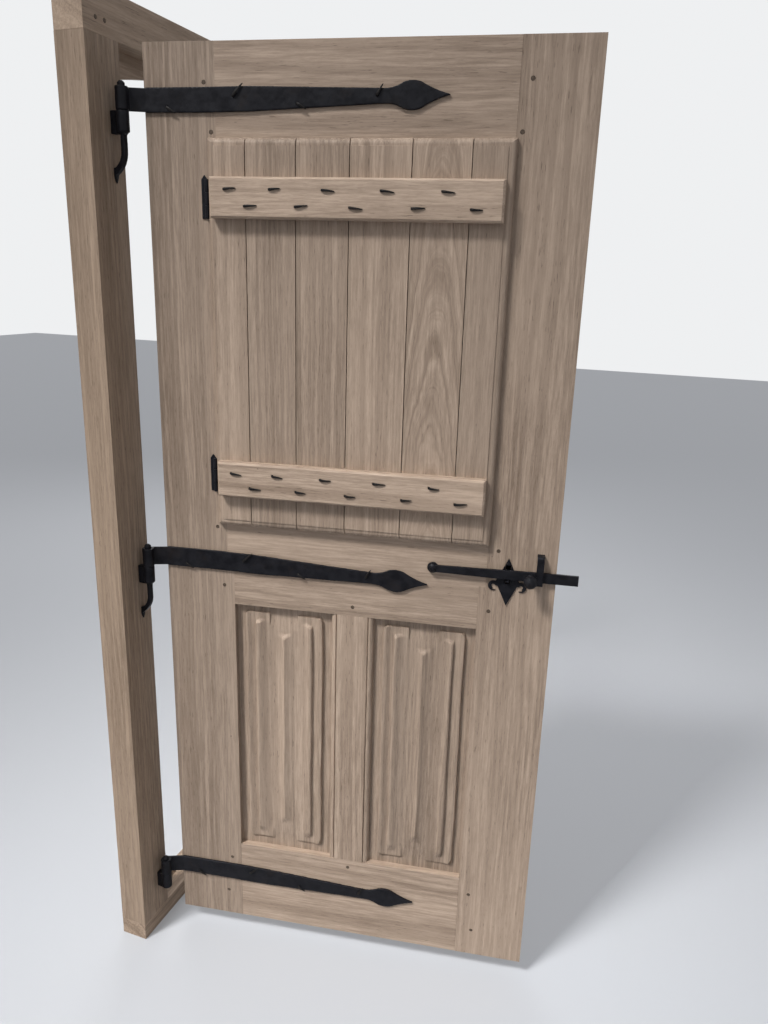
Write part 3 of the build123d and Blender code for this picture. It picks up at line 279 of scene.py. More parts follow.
world = bpy.data.worlds.new("soft room")
scene.world = world
world.use_nodes = True
tree = world.node_tree
fill = tree.nodes["Background"]
put(tree, fill, {"Color": WORLD_COLOUR, "Strength": WORLD_STRENGTH})
backdrop = node(tree, "ShaderNodeBackground", {"Color": BACKDROP_COLOUR, "Strength": 1.0})
mixer = node(tree, "ShaderNodeMixShader",
             {0: seen_directly(tree), 1: fill.outputs[0], 2: backdrop.outputs[0]})
put(tree, tree.nodes["World Output"], {"Surface": mixer.outputs[0]})

corners = [(x * FLOOR_HALF, y * FLOOR_HALF, 0) for x, y in ((-1, -1), (1, -1), (1, 1), (-1, 1))]
floor_mesh = bpy.data.meshes.new("floor")
floor_mesh.from_pydata(corners, [], [(0, 1, 2, 3)])
pale_floor, tree, shader = new_material("pale floor")
put(tree, shader, {"Base Color": (0.40, 0.41, 0.43, 1), "Roughness": 0.9,
                   "Emission Color": (0.97, 0.98, 1.0, 1),
                   "Emission Strength": times(tree, seen_directly(tree), FLOOR_GLOW)})
floor_mesh.materials.append(pale_floor)
shown("floor", floor_mesh)
print("world and floor are set")

# %% [markdown]
# Oak shows growth rings as soft bands along the board, fine fibres between them and short dark
# pores. All three are stretched noises that differ only in scale, so one node group makes them and
# every board's material calls it. The group works on coordinates in metres whose z runs along the
# grain. It gives masks and a height, and the colours stay in each material.

# %% A node group for oak grain
RING_DRIFT = 0.09
RING_LEAN = 0.6
RING_ALONG = 0.25
ARCH_NARROWING = 15.0
ARCH_RISE = 0.16
ARCH_UNEVEN = 0.035
FIBRE_H, RING_H, PORE_H = 0.35, 0.3, 0.6

grain_group, grain_in, grain_out = new_group(
    "oak grain",
    [("Vector", "NodeSocketVector", None), ("Ring Spacing", "NodeSocketFloat", 60.0),
     ("Waviness", "NodeSocketFloat", 0.5), ("Cathedral", "NodeSocketFloat", 0.0)],
    [(title, "NodeSocketFloat") for title in ("Rings", "Fibres", "Pores", "Tone", "Height")])
tree = grain_group
place = grain_in.outputs["Vector"]
parts = node(tree, "ShaderNodeSeparateXYZ", {0: place})
width, depth, length = (parts.outputs[axis] for axis in "XYZ")
# Straight rings drift slowly along the board and lean into its depth
drift = noise_of(tree, stretched(tree, place, (9, 9, 1.1)), 1.0, 2.0)
drift = times(tree, math_of(tree, "SUBTRACT", drift, 0.5), grain_in.outputs["Waviness"])
straight = plus(tree, width, times(tree, drift, RING_DRIFT))
straight = plus(tree, straight, times(tree, depth, RING_LEAN))
# On a flat-sawn board they bend into tall, slightly uneven arches
wander = noise_of(tree, stretched(tree, place, (16, 16, 6.0)), 1.0, 3.0)
arch = times(tree, times(tree, width, width), ARCH_NARROWING)
arch = plus(tree, arch, times(tree, length, ARCH_RISE))
arch = plus(tree, arch, times(tree, wander, ARCH_UNEVEN))
chosen = node(tree, "ShaderNodeMix", data_type="FLOAT")
put(tree, chosen, {"Factor": grain_in.outputs["Cathedral"], "A": straight, "B": arch})
years = times(tree, chosen.outputs["Result"], grain_in.outputs["Ring Spacing"])
along_rings = node(tree, "ShaderNodeCombineXYZ", {"X": years, "Z": times(tree, length, RING_ALONG)})
rings = mask(tree, noise_of(tree, along_rings.outputs[0], 1.0, 3.0, 0.62), 0.36, 0.64)
# Fibres, pores and the board's slow change of tone are noises drawn out along it
fibres = noise_of(tree, stretched(tree, place, (230, 230, 13)), 1.0, 5.0, 0.8)
fibres = mask(tree, fibres, 0.36, 0.64)
pores = mask(tree, noise_of(tree, stretched(tree, place, (520, 520, 42)), 1.0, 2.0), 0.60, 0.72)
pores = times(tree, pores, ramp(tree, rings, 0.15, 1.0, 0.3, 0.8))
tone = mask(tree, noise_of(tree, stretched(tree, place, (7, 7, 1.6)), 1.0, 3.0), 0.25, 0.75)
height = plus(tree, times(tree, fibres, FIBRE_H), times(tree, rings, RING_H))
height = math_of(tree, "SUBTRACT", height, times(tree, pores, PORE_H))
put(tree, grain_out,
    {"Rings": rings, "Fibres": fibres, "Pores": pores, "Tone": tone, "Height": height})
print("oak grain:", len(grain_group.nodes), "nodes")

# %% [markdown]
# Each board is cut from its own place in the tree, so each gets its own offset, ring spacing and
# tone; the hinge stile's tone is also set darker as painted shade, for the shade that the jamb casts
# on it. A Mapping node first turns the leaf's boards square, then another lays their grain along z:
# upright for stiles and planks, level for rails and battens. The colours are those of unfinished
# oak, a greyed pale brown.

# %% The oak material
OAK_LIGHT = (0.455, 0.346, 0.262)
OAK_DARK = (0.180, 0.126, 0.088)
OAK_PORE = (0.095, 0.063, 0.042)
WARMER_LIGHT = (0.25, 0, -0.45)
WARMER_DARK = (0.3, 0, -0.5)
FIBRE_DEPTH, TONE_DEPTH, PORE_DEPTH = 0.62, 0.45, 0.6
SEED_STEP = Vector((3.7, 1.9, 11.3))


def toned(colour, tone, warmth=0.0, shifts=(0, 0, 0)):
    """A colour times a tone, with a share of some shifts towards a warmer one."""
    return tuple(value * tone * (1 + warmth * shift) for value, shift in zip(colour, shifts))


def knot_mask(tree, vector, spot, radius):
    """A small uneven dark round: one at its middle, nothing past its radius in metres."""
    span = node(tree, "ShaderNodeVectorMath", {0: vector, 1: spot}, operation="DISTANCE")
    uneven = times(tree, noise_of(tree, vector, 300.0, 2.0), radius * 1.2)
    reach = plus(tree, span.outputs["Value"], uneven)
    return ramp(tree, reach, 0.9, 0.0, radius * 0.6, radius * 1.5)


def oak(name, seed, level=False, open_leaf=True, tone=1.0, warmth=0.0, spacing=60.0,
        waviness=0.5, cathedral=0.0, centre=None, ring_depth=0.62, knots=()):
    """A board's material. level lays the grain across, centre is where flat-sawn arches stand, and
    each knot is mm across, behind and up the leaf, with its radius."""
    material, tree, shader = new_material(name)
    where = node(tree, "ShaderNodeTexCoord").outputs["Object"]
    turn = node(tree, "ShaderNodeMapping",
                {"Vector": where, "Rotation": (0, 0, OPEN if open_leaf else 0)})
    lay = node(tree, "ShaderNodeMapping",
               {"Vector": turn.outputs[0], "Rotation": (0, -pi / 2 if level else 0, 0),
                "Location": SEED_STEP * seed if centre is None else -centre})
    grain = node(tree, "ShaderNodeGroup", node_tree=grain_group)
    put(tree, grain, {"Vector": lay.outputs[0], "Ring Spacing": spacing, "Waviness": waviness,
                      "Cathedral": cathedral})
    light = toned(OAK_LIGHT, tone, warmth, WARMER_LIGHT)
    dark = toned(OAK_DARK, tone, warmth, WARMER_DARK)
    colour = mixed(tree, times(tree, grain.outputs["Rings"], ring_depth), light, dark)
    for title, share, over in (("Fibres", FIBRE_DEPTH, toned(dark, 0.9)),
                               ("Tone", TONE_DEPTH, toned(light, 1.08)),
                               ("Pores", PORE_DEPTH, OAK_PORE)):
        colour = mixed(tree, times(tree, grain.outputs[title], share), colour, over)
    for x, behind, z, radius in knots:
        spot = knot_mask(tree, where, on_leaf(x, behind, z), radius * MM)
        colour = mixed(tree, spot, colour, OAK_PORE)
    put(tree, shader, {"Base Color": colour, "Specular IOR Level": 0.35,
                       "Roughness": ramp(tree, grain.outputs["Fibres"], 0.56, 0.72)})
    bumped(tree, shader, grain.outputs["Height"], 0.35, 0.0006)
    return material


print("oak colours", OAK_LIGHT, OAK_DARK)

# %% [markdown]
# Black forged iron is nearly smooth but never flat: the hammer leaves shallow facets, and handling
# polishes the high places. One group gives the mottling, a dusting of brown and a fine bump, and
# it is shared by hinges, latch and nails.

# %% A node group for forge scale, and the iron materials
PIT_H, DENT_H = 0.25, 0.75
DUST_DEPTH = 0.35

scale_group, scale_in, scale_out = new_group(
    "forge scale",
    [("Vector", "NodeSocketVector", None), ("Grain", "NodeSocketFloat", 1.0)],
    [(title, "NodeSocketFloat") for title in ("Mottle", "Dust", "Height")])
tree = scale_group
place = scale_in.outputs["Vector"]
mottle = mask(tree, noise_of(tree, place, 55.0, 4.0, 0.6), 0.3, 0.7)
dust = mask(tree, noise_of(tree, place, 21.0, 5.0, 0.65), 0.52, 0.72)
pits = noise_of(tree, place, 700.0, 3.0, 0.6)
dents = noise_of(tree, place, 95.0, 2.0, 0.5)
relief = plus(tree, times(tree, pits, PIT_H), times(tree, dents, DENT_H))
relief = times(tree, relief, scale_in.outputs["Grain"])
put(tree, scale_out, {"Mottle": mottle, "Dust": dust, "Height": relief})


def iron(name, colour, bright, rust, rough, grain):
    """A forged iron finish: a dark coat, brighter where rubbed, with a little brown dust."""
    material, tree, shader = new_material(name)
    scale = node(tree, "ShaderNodeGroup", node_tree=scale_group)
    where = node(tree, "ShaderNodeTexCoord").outputs["Object"]
    put(tree, scale, {"Vector": where, "Grain": grain})
    coat = mixed(tree, scale.outputs["Mottle"], colour, bright)
    coat = mixed(tree, times(tree, scale.outputs["Dust"], DUST_DEPTH), coat, rust)
    sheen = ramp(tree, scale.outputs["Mottle"], rough - 0.1, rough + 0.12)
    put(tree, shader, {"Base Color": coat, "Roughness": sheen, "Metallic": 0.1,
                       "Specular IOR Level": 0.14})
    bumped(tree, shader, scale.outputs["Height"], 0.5, 0.0012)
    return material


forged_iron = iron("forged iron", colour=(0.005, 0.005, 0.007), bright=(0.012, 0.012, 0.015),
                   rust=(0.020, 0.014, 0.011), rough=0.46, grain=1.0)
nail_iron = iron("nail iron", colour=(0.007, 0.006, 0.006), bright=(0.020, 0.018, 0.017),
                 rust=(0.035, 0.023, 0.016), rough=0.5, grain=1.4)
print("iron finishes:", forged_iron.name, nail_iron.name)

# %% [markdown]
# A packed board has knife-sharp edges, which no worked board keeps. Each board is copied, its loose
# triangles are merged and dissolved back to whole faces, and a small bevel rounds the arrises so
# that they catch the light. The copy replaces the node and rides on the same body.

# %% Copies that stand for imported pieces


def copy_of(node_name, name):
    """A merged copy of a node's mesh, with flat areas made whole again."""
    mesh = nodes[node_name].data.copy()
    mesh.name = name
    mesh.materials.clear()
    work = bmesh.new()
    work.from_mesh(mesh)
    bmesh.ops.remove_doubles(work, verts=work.verts, dist=1e-6)
    bmesh.ops.dissolve_limit(work, angle_limit=radians(0.5), verts=work.verts, edges=work.edges)
    work.to_mesh(mesh)
    work.free()
    return shown(name, mesh)


def settled(piece):
    """The piece with its modifiers worked into its mesh."""
    graph = bpy.context.evaluated_depsgraph_get()
    mesh = bpy.data.meshes.new_from_object(piece.evaluated_get(graph), depsgraph=graph)
    piece.modifiers.clear()
    old = piece.data
    piece.data = mesh
    mesh.name = piece.name
    bpy.data.meshes.remove(old)
    return piece


def stands_for(piece, material, node_name):
    """Give a finished piece its material, and let it replace a node on the node's own body."""
    piece.data.materials.clear()
    piece.data.materials.append(material)
    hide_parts(node_name)
    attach(piece, body_of_node[node_name])
    return piece


print("helpers for copies are ready")

# %% Boards with eased edges
SMOOTH_UNDER = radians(35)


def eased_board(node_name, material, ease=0.9, change=None):
    """A board's copy with small rounded arrises. Weighted normals keep its broad faces flat."""
    piece = copy_of(node_name, node_name + "_eased")
    if change:
        change(piece.data)
    bevel = piece.modifiers.new("arris", "BEVEL")
    bevel.width = ease * MM
    bevel.segments = 2
    bevel.limit_method = "ANGLE"
    bevel.angle_limit = radians(30)
    settled(piece)
    piece.data.shade_smooth()
    piece.data.set_sharp_from_angle(angle=SMOOTH_UNDER)
    weighted = piece.modifiers.new("flat faces", "WEIGHTED_NORMAL")
    weighted.keep_sharp = True
    settled(piece)
    return stands_for(piece, material, node_name)


BOARDS = {
    "hinge_jamb": dict(seed=1, open_leaf=False, tone=0.78, warmth=0.12),
    "latch_jamb": dict(seed=2, open_leaf=False, tone=0.88, warmth=0.1),
    "frame_head": dict(seed=3, open_leaf=False, level=True, tone=0.86, warmth=0.1),
    "frame_sill": dict(seed=4, open_leaf=False, level=True, tone=0.95, warmth=0.1),
    # The hinge stile's low tone is painted shade: it darkens the stile as the jamb beside it shades
    # it
    "hinge_stile": dict(seed=5, tone=0.80, spacing=75, knots=((139, 0, 519, 2.6),)),
    "latch_stile": dict(seed=6, tone=0.98, spacing=85, knots=((728, 0, 1031, 2.4),)),
    "top_rail": dict(seed=7, level=True, spacing=46, waviness=0.9),
    "lock_rail": dict(seed=8, level=True, tone=0.98, spacing=50, waviness=0.8),
    "bottom_rail": dict(seed=9, level=True, tone=1.03, spacing=44, waviness=0.7),
    "muntin": dict(seed=10, tone=1.04, spacing=80),
    "bead_left": dict(seed=11, tone=0.97),
    "bead_right": dict(seed=12),
    "bead_bottom": dict(seed=13, level=True),
    "bead_top": dict(seed=14, level=True),
    "batten_bottom": dict(seed=15, level=True, tone=1.14, spacing=40, waviness=1.2,
                          knots=((232, -42, 1193, 2.2),)),
    "batten_top": dict(seed=16, level=True, tone=1.16, spacing=42, waviness=1.2),
}
for name, settings in BOARDS.items():
    eased_board(name, oak("oak " + name.replace("_", " "), **settings))
print(len(BOARDS), "boards eased")

# %% [markdown]
# The shutter's six planks come from different boards, and the photograph shows it: some are greyer,
# some warmer, and the fifth is flat-sawn, with tall arches instead of straight lines. The arches
# need their middle on the plank's own middle, so that material takes the plank's centre. Wood
# shrinks across its grain, so the joints have opened by nearly two millimetres and look dark: each
# plank's shoulders move in a little from the joint, and its tongue stays.

# %% Shutter planks
PLANK_TONES = (0.98, 0.88, 0.93, 1.03, 1.02, 0.88)
PLANK_SPACING = (70, 95, 90, 72, 60, 88)
FLAT_SAWN = 5
ARCHES_BELOW_MIDDLE = 0.2
SHRINK = 0.9
FACE_DEEP = 0.5
EDGE_NEAR = 0.2


def shrink_shoulders(number):
    """A change to plank number's mesh that moves its shoulders in from the joints it has."""
    def change(mesh):
        terms = [leaf_terms(vertex.co) for vertex in mesh.vertices]
        room_face = min(term.y for term in terms)
        on_face = [term.x for term in terms if term.y < room_face + FACE_DEEP]
        low_edge, high_edge = min(on_face), max(on_face)
        for vertex, term in zip(mesh.vertices, terms):
            if number > 1 and abs(term.x - low_edge) < EDGE_NEAR:
                vertex.co += across * (SHRINK * MM)
            if number < len(PLANK_TONES) and abs(term.x - high_edge) < EDGE_NEAR:
                vertex.co -= across * (SHRINK * MM)
    return change


for number, (tone, spacing) in enumerate(zip(PLANK_TONES, PLANK_SPACING), 1):
    name = f"shutter_plank_{number}"
    settings = dict(seed=20 + number, tone=tone, spacing=spacing, waviness=0.35)
    if number == FLAT_SAWN:
        low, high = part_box(name)
        middle = Matrix.Rotation(OPEN, 3, "Z") @ ((low + high) / 2)
        settings.update(cathedral=1.0, spacing=115, ring_depth=0.8,
                        centre=Vector((middle.x, middle.y, middle.z - ARCHES_BELOW_MIDDLE)))
    material = oak(f"oak plank {number}", **settings)
    eased_board(name, material, ease=0.6, change=shrink_shoulders(number))
print("planks made")

# %% [markdown]
# Linenfold imitates folded cloth: a back fold with rounded corners, a front fold on each side
# rolled to a crest, a hollow between, and a low ridge down the middle that ends in a point. Its
# height is one function of the place on the panel, so a fine grid is raised by that function, which
# gives softer and truer folds than cuts in a solid would. All lengths here are in millimetres.

# %% The height of the folds
PANEL_W = 225.0
FOLD_TOP = 845.0
FOLD_FOOT = 234.0
BACK_HALF = 91.0
BACK_CORNER = 11.0
BACK_H, RIM_H = 4.2, 4.6
CREST_AT = 66.0
CREST_H, CREST_ROLL = 12.2, 1.4
HOLLOW_H, KEEL_H = 2.6, 10.8
FRONT_START = 15.0
THROAT_HALF = 33.5
THROAT_H, THROAT_L, THROAT_POINT = 3.0, 36.0, 17.0


def ease(value, low, high):
    """Zero below low, one above high, and a smooth step between."""
    share = np.clip((value - low) / (high - low), 0, 1)
    return share * share * (3 - 2 * share)


def back_fold(side, from_end, at_foot):
    """The back fold: rounded corners and a narrow rim, crisp at its top and soft at its foot."""
    past_side = side - (BACK_HALF - BACK_CORNER)
    past_end = BACK_CORNER - from_end
    at_corner = (past_side > 0) & (past_end > 0)
    inset = np.maximum(np.maximum(past_side, past_end), 0)
    reach = np.where(at_corner, np.hypot(past_side, past_end), inset)
    soft = np.where(at_foot, 1.2 + 9.0 * (1 - ease(from_end, 2, 26)), 1.2)
    rim = ease(side, CREST_AT + 1, BACK_HALF - 3) ** 1.5
    rim = rim - 0.25 * ease(side, BACK_HALF - 3, BACK_HALF)
    return ease(BACK_CORNER - reach, -0.2, soft) * (BACK_H + RIM_H * rim)


def front_fold(side):
    """The front fold: a rolled crest, a deep hollow and a keel with a sharp ridge."""
    crest = CREST_H * np.exp(-(np.maximum(CREST_AT - 3 - side, 0) / 20.0) ** 1.4)
    crest = crest - CREST_ROLL * ease(side, CREST_AT - 4, CREST_AT)
    keel = KEEL_H * np.exp(-(side / 14.0) ** 1.15)
    return HOLLOW_H + np.maximum(crest + keel - HOLLOW_H, 0)


def fold_height(u, z):
    """Height of the carving above the ground: u from the panel's middle, z up the leaf."""
    side = np.abs(u)
    from_end = np.minimum(FOLD_TOP - z, z - FOLD_FOOT)
    at_foot = z < (FOLD_TOP + FOLD_FOOT) / 2
    fade = np.where(at_foot, 24.0, 9.0)
    # The front fold starts a little in from the back fold's end
    start = FRONT_START + 5.0 * np.abs(side - 52.0) / 14.0
    front = 1 - ease(side, CREST_AT - 0.4, CREST_AT + 1.0)
    front = front * ease(from_end, start, start + fade)
    # The throat slopes in between the folds' ends down to where the keel starts in a point
    throat_end = THROAT_L + THROAT_POINT * (1 - side / THROAT_HALF)
    soft_edge = np.where(at_foot, 8.0, 1.0)
    throat = 1 - ease(side, THROAT_HALF - soft_edge, THROAT_HALF + 0.6)
    throat = throat * (1 - ease(from_end, throat_end - 3, throat_end + 1 + fade))
    folds = back_fold(side, from_end, at_foot) * (1 - front) + front_fold(side) * front
    return folds * (1 - throat) + THROAT_H * ease(from_end, 0, 45) * throat


crest_height = fold_height(np.array([CREST_AT - 2]), np.array([500.0]))[0]
print("crest height", round(float(crest_height), 2), "mm")

# %% [markdown]
# A height field needs points where its edges are. The columns stand close together at the fold
# edges and wide in the hollows, and they waver a little as they go up, as a line cut by hand does,
# so an edge stays on its column and stays crisp. The rim goes straight back to the tongue that
# sits in the grooves of the frame, and a flat back closes it.

# %% The panel's front
PANEL_LOW = 216.0
PANEL_HIGH = 863.0
GROUND_DEPTH = 16.0
EDGE_COLUMNS = (0.0, THROAT_HALF, CREST_AT, BACK_HALF)
FINE_STEP, WIDE_STEP = 0.45, 2.4
ROWS = 400


def column_places():
    """The columns' places from edge to edge: close together at the folds' edges."""
    places = [0.0]
    while places[-1] < PANEL_W / 2 - 0.5:
        nearest = min(abs(places[-1] - edge) for edge in EDGE_COLUMNS)
        places.append(places[-1] + min(FINE_STEP + 0.25 * max(nearest - 1.5, 0), WIDE_STEP))
    half = np.array(places) * (PANEL_W / 2 / places[-1])
    return np.concatenate((-half[:0:-1], half))


def panel_front(seed):
    """The front's grid: places across and up, and the depth of each, in mm."""
    rng = np.random.default_rng(seed)
    u, z = np.meshgrid(column_places(), np.linspace(PANEL_LOW, PANEL_HIGH, ROWS))
    depth = GROUND_DEPTH - fold_height(u, z)
    depth += 0.12 * np.sin(u * 0.5 + rng.uniform(0, 6)) * np.sin(z * 0.045)
    waver = 0.7 * np.sin(z * 0.011 + rng.uniform(0, 6))
    waver = waver + 0.35 * np.sin(z * 0.031 + rng.uniform(0, 6))
    u = u + waver * np.clip((PANEL_W / 2 - np.abs(u)) / 15, 0, 1)
    return u, z, depth


print("a panel's front is a grid of", len(column_places()), "by", ROWS)

# %% Carved panels
TONGUE_FRONT = 22.0
TONGUE_BACK = 32.0
TONGUE_REACH = 10.0
PANEL_MIDDLES = {"left": 158 + PANEL_W / 2, "right": 479 + PANEL_W / 2}
ON_RIM = 0.01


def smooth_mesh(work, name, sharp_angle):
    """The mesh of a closed bmesh, facing outwards and smooth up to an angle in degrees."""
    bmesh.ops.recalc_face_normals(work, faces=work.faces)
    mesh = bpy.data.meshes.new(name)
    work.to_mesh(mesh)
    work.free()
    mesh.shade_smooth()
    mesh.set_sharp_from_angle(angle=radians(sharp_angle))
    return mesh


def rim_of_grid(count):
    """The grid's border as point numbers, once round, where a row holds count points."""
    last_row = (ROWS - 1) * count
    border = list(range(count)) + [row * count + count - 1 for row in range(1, ROWS)]
    border += [last_row + column for column in range(count - 2, -1, -1)]
    return border + [row * count for row in range(ROWS - 2, 0, -1)]


def moved_out(value, low, high, reach):
    """A coordinate of a rim point, moved out by reach where it lies on one of two limits."""
    if value > high - ON_RIM:
        return value + reach
    if value < low + ON_RIM:
        return value - reach
    return value


def carved_panel(name, node_name, x_middle, seed, tone):
    """One linenfold panel as a closed solid: the carved front, the tongue's steps and a back."""
    grid_u, grid_z, depth = panel_front(seed)
    count = grid_u.shape[1]
    across_panel, up_panel = grid_u.ravel(), grid_z.ravel()
    points = [on_leaf(x_middle + u, behind, z)
              for u, behind, z in zip(across_panel, depth.ravel(), up_panel)]
    corners = [row * count + column for row in range(ROWS - 1) for column in range(count - 1)]
    faces = [(first, first + 1, first + count + 1, first + count) for first in corners]
    rim = rim_of_grid(count)
    previous = rim
    for reach, at_depth in ((0.0, TONGUE_FRONT), (TONGUE_REACH, TONGUE_FRONT),
                            (TONGUE_REACH, TONGUE_BACK)):
        ring = list(range(len(points), len(points) + len(rim)))
        for index in rim:
            u = moved_out(across_panel[index], -PANEL_W / 2, PANEL_W / 2, reach)
            z = moved_out(up_panel[index], PANEL_LOW, PANEL_HIGH, reach)
            points.append(on_leaf(x_middle + u, at_depth, z))
        for index in range(len(rim)):
            after = (index + 1) % len(rim)
            faces.append((previous[after], previous[index], ring[index], ring[after]))
        previous = ring
    faces.append(tuple(reversed(previous)))
    raw = bpy.data.meshes.new("raw panel")
    raw.from_pydata(points, [], faces)
    work = bmesh.new()
    work.from_mesh(raw)
    bpy.data.meshes.remove(raw)
    piece = shown(name, smooth_mesh(work, name, 50))
    return stands_for(piece, oak("oak " + name, seed=seed, tone=tone, spacing=85), node_name)


carved_panel("linenfold_left", "panel_left", PANEL_MIDDLES["left"], seed=31, tone=0.95)
carved_panel("linenfold_right", "panel_right", PANEL_MIDDLES["right"], seed=32, tone=0.86)
print("panels carved")

# %% [markdown]
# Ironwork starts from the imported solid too. A voxel remesh at about a millimetre turns it into
# even skin, smoothing rounds the corners as the hammer does, and a slow noise pushes each point in
# or out by a few tenths of a millimetre. A strap's points against the wood stay where they are.

# %% How a piece is forged
NEAR_WOOD = 1.2


def hammered(piece, dent, spacing, keep_depth=None, face_only=False):
    """Uneven a skin by a slow noise. keep_depth is the leaf depth, in mm, of a face that stays
    flat. face_only works the room face alone, so that a strap keeps its straight edges."""
    mesh = piece.data
    work = bmesh.new()
    work.from_mesh(mesh)
    work.normal_update()
    for vertex in work.verts:
        if keep_depth is not None and abs(leaf_terms(vertex.co).y - keep_depth) < NEAR_WOOD:
            continue
        swing = noise.noise(vertex.co / (spacing * MM))
        swing += 0.4 * noise.noise(vertex.co / (0.35 * spacing * MM))
        push = -inward * max(vertex.normal.dot(-inward), 0) if face_only else vertex.normal
        vertex.co += push * (swing - 0.5) * dent * MM
    work.to_mesh(mesh)
    work.free()


def forged(node_name, voxel, rounding, dent, spacing, keep_depth=None, face_only=False,
           change=None):
    """A forged copy of a node: even skin, softened corners and hammer marks."""
    piece = copy_of(node_name, node_name + "_forged")
    if change:
        change(piece.data)
    remesh = piece.modifiers.new("skin", "REMESH")
    remesh.mode = "VOXEL"
    remesh.voxel_size = voxel * MM
    soften = piece.modifiers.new("soften", "SMOOTH")
    soften.factor = 0.5
    soften.iterations = rounding
    settled(piece)
    hammered(piece, dent, spacing, keep_depth, face_only)
    piece.data.shade_smooth()
    return stands_for(piece, forged_iron, node_name)


print("forging is ready")

# %% [markdown]
# Three pieces change a little before they are forged. The latch's knob gets fuller where it faces
# the room, the plate's thin scrolls swell because smoothing thins them, and the outer plate's slot
# closes round the thumb lever so that no light falls through.

# %% Changes before forging
KNOB_FULLER = 0.12
KNOB_NEARER_THAN = -30
SCROLLS_START = 17.0
SCROLL_SWELL = 1.6
SLOT_REACH_X, SLOT_REACH_Z = 6, 14.5
SLOT_HALF_W, SLOT_HALF_H = 4.3, 6.5
PLATE_BEFORE_PIN = 4


def fuller_knob(mesh):
    """Move the knob's points outwards from its middle by a share of their reach."""
    terms = [leaf_terms(vertex.co) for vertex in mesh.vertices]
    middle_x = (min(term.x for term in terms) + max(term.x for term in terms)) / 2
    middle_z = (min(term.z for term in terms) + max(term.z for term in terms)) / 2
    for vertex, term in zip(mesh.vertices, terms):
        if term.y < KNOB_NEARER_THAN:
            reach = across * (term.x - middle_x) + Vector((0, 0, term.z - middle_z))
            vertex.co += reach * KNOB_FULLER * MM


def thicker_scrolls(mesh):
    """Swell the latch plate's scrolls within the plate's own plane."""
    normals = [vertex.normal.copy() for vertex in mesh.vertices]
    middle = sum(leaf_terms(vertex.co).x for vertex in mesh.vertices) / len(mesh.vertices)
    for vertex, normal in zip(mesh.vertices, normals):
        if abs(leaf_terms(vertex.co).x - middle) > SCROLLS_START:
            in_plane = normal - inward * normal.dot(inward)
            vertex.co += in_plane * SCROLL_SWELL * MM


def close_slot(mesh):
    """Bring the outer plate's slot in to the thumb lever's sides."""
    low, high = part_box("lever_pin")
    pin = leaf_terms((low + high) / 2)
    for vertex in mesh.vertices:
        right, nearer, above = leaf_terms(vertex.co) - pin
        if abs(right) < SLOT_REACH_X and abs(above) < SLOT_REACH_Z and nearer < -PLATE_BEFORE_PIN:
            vertex.co += across * ((SLOT_HALF_W if right > 0 else -SLOT_HALF_W) - right) * MM
            vertex.co.z += (max(min(above, SLOT_HALF_H), -SLOT_HALF_H) - above) * MM


print("changes for knob, scrolls and slot are ready")

# %% Forged pieces
STRAP = dict(voxel=1.5, rounding=1, dent=0.6, spacing=24, keep_depth=0, face_only=True)
GUDGEON = dict(voxel=1.2, rounding=4, dent=0.35, spacing=16)
LATCH = dict(voxel=0.8, rounding=2, dent=0.3, spacing=10)
LARGE = dict(voxel=1.1, rounding=3, dent=0.4, spacing=14)
BUTT = dict(voxel=0.7, rounding=1, dent=0.15, spacing=10)
FORGED = {
    "strap_bottom": STRAP, "gudgeon_bottom": GUDGEON,
    "strap_middle": STRAP, "gudgeon_middle": GUDGEON,
    "strap_top": STRAP, "gudgeon_top": GUDGEON,
    "latch_bar": LATCH, "latch_keeper": LATCH, "thumb_lever": LATCH,
    "latch_plate": dict(voxel=0.7, rounding=1, dent=0.2, spacing=10, change=thicker_scrolls),
    "latch_knob": dict(voxel=0.7, rounding=7, dent=0.25, spacing=9, change=fuller_knob),
    "latch_pivot": dict(voxel=0.6, rounding=3, dent=0.2, spacing=9),
    "latch_catch": LARGE, "pull_handle": LARGE,
    "outer_plate": dict(LARGE, change=close_slot),
    "shutter_hinge_fixed_bottom": BUTT, "shutter_hinge_wing_bottom": BUTT,
    "shutter_hinge_fixed_top": BUTT, "shutter_hinge_wing_top": BUTT,
    "lever_pin": dict(voxel=0.5, rounding=2, dent=0.1, spacing=6),
}
for name, settings in FORGED.items():
    forged(name, **settings)
print(len(FORGED), "pieces forged")

# %% [markdown]
# Pegs repeat, so Geometry Nodes set them out. A cloud of points carries a turn for each copy, one
# tree places the same small mesh on every point, and its result is made real and kept as a plain
# mesh. A Random Value node, like Mix, has its number sockets reached by their place.

# %% A tree that sets a mesh on points
RANDOM_MIN, RANDOM_MAX, RANDOM_OUT = 2, 3, 1
setting_out, tree_in, goes = new_group(
    "set out on points",
    [("Geometry", "NodeSocketGeometry", None), ("Piece", "NodeSocketObject", None),
     ("Finish", "NodeSocketMaterial", None), ("Size Spread", "NodeSocketFloat", None),
     ("Seed", "NodeSocketInt", None)],
    [("Geometry", "NodeSocketGeometry")], kind="GeometryNodeTree")
tree = setting_out
came = tree_in.outputs
mesh_of = node(tree, "GeometryNodeObjectInfo", {"Object": came["Piece"]},
               transform_space="ORIGINAL")
turn = node(tree, "GeometryNodeInputNamedAttribute", {"Name": "turn"}, data_type="FLOAT_VECTOR")
size = node(tree, "FunctionNodeRandomValue", data_type="FLOAT")
put(tree, size, {RANDOM_MIN: math_of(tree, "SUBTRACT", 1, came["Size Spread"]),
                 RANDOM_MAX: plus(tree, 1, came["Size Spread"]), "Seed": came["Seed"]})
on_points = node(tree, "GeometryNodeInstanceOnPoints",
                 {"Points": came["Geometry"], "Instance": mesh_of.outputs["Geometry"],
                  "Rotation": turn.outputs["Attribute"], "Scale": size.outputs[RANDOM_OUT]})
real = node(tree, "GeometryNodeRealizeInstances", {"Geometry": on_points.outputs["Instances"]})
finish = node(tree, "GeometryNodeSetMaterial",
              {"Geometry": real.outputs["Geometry"], "Material": came["Finish"]})
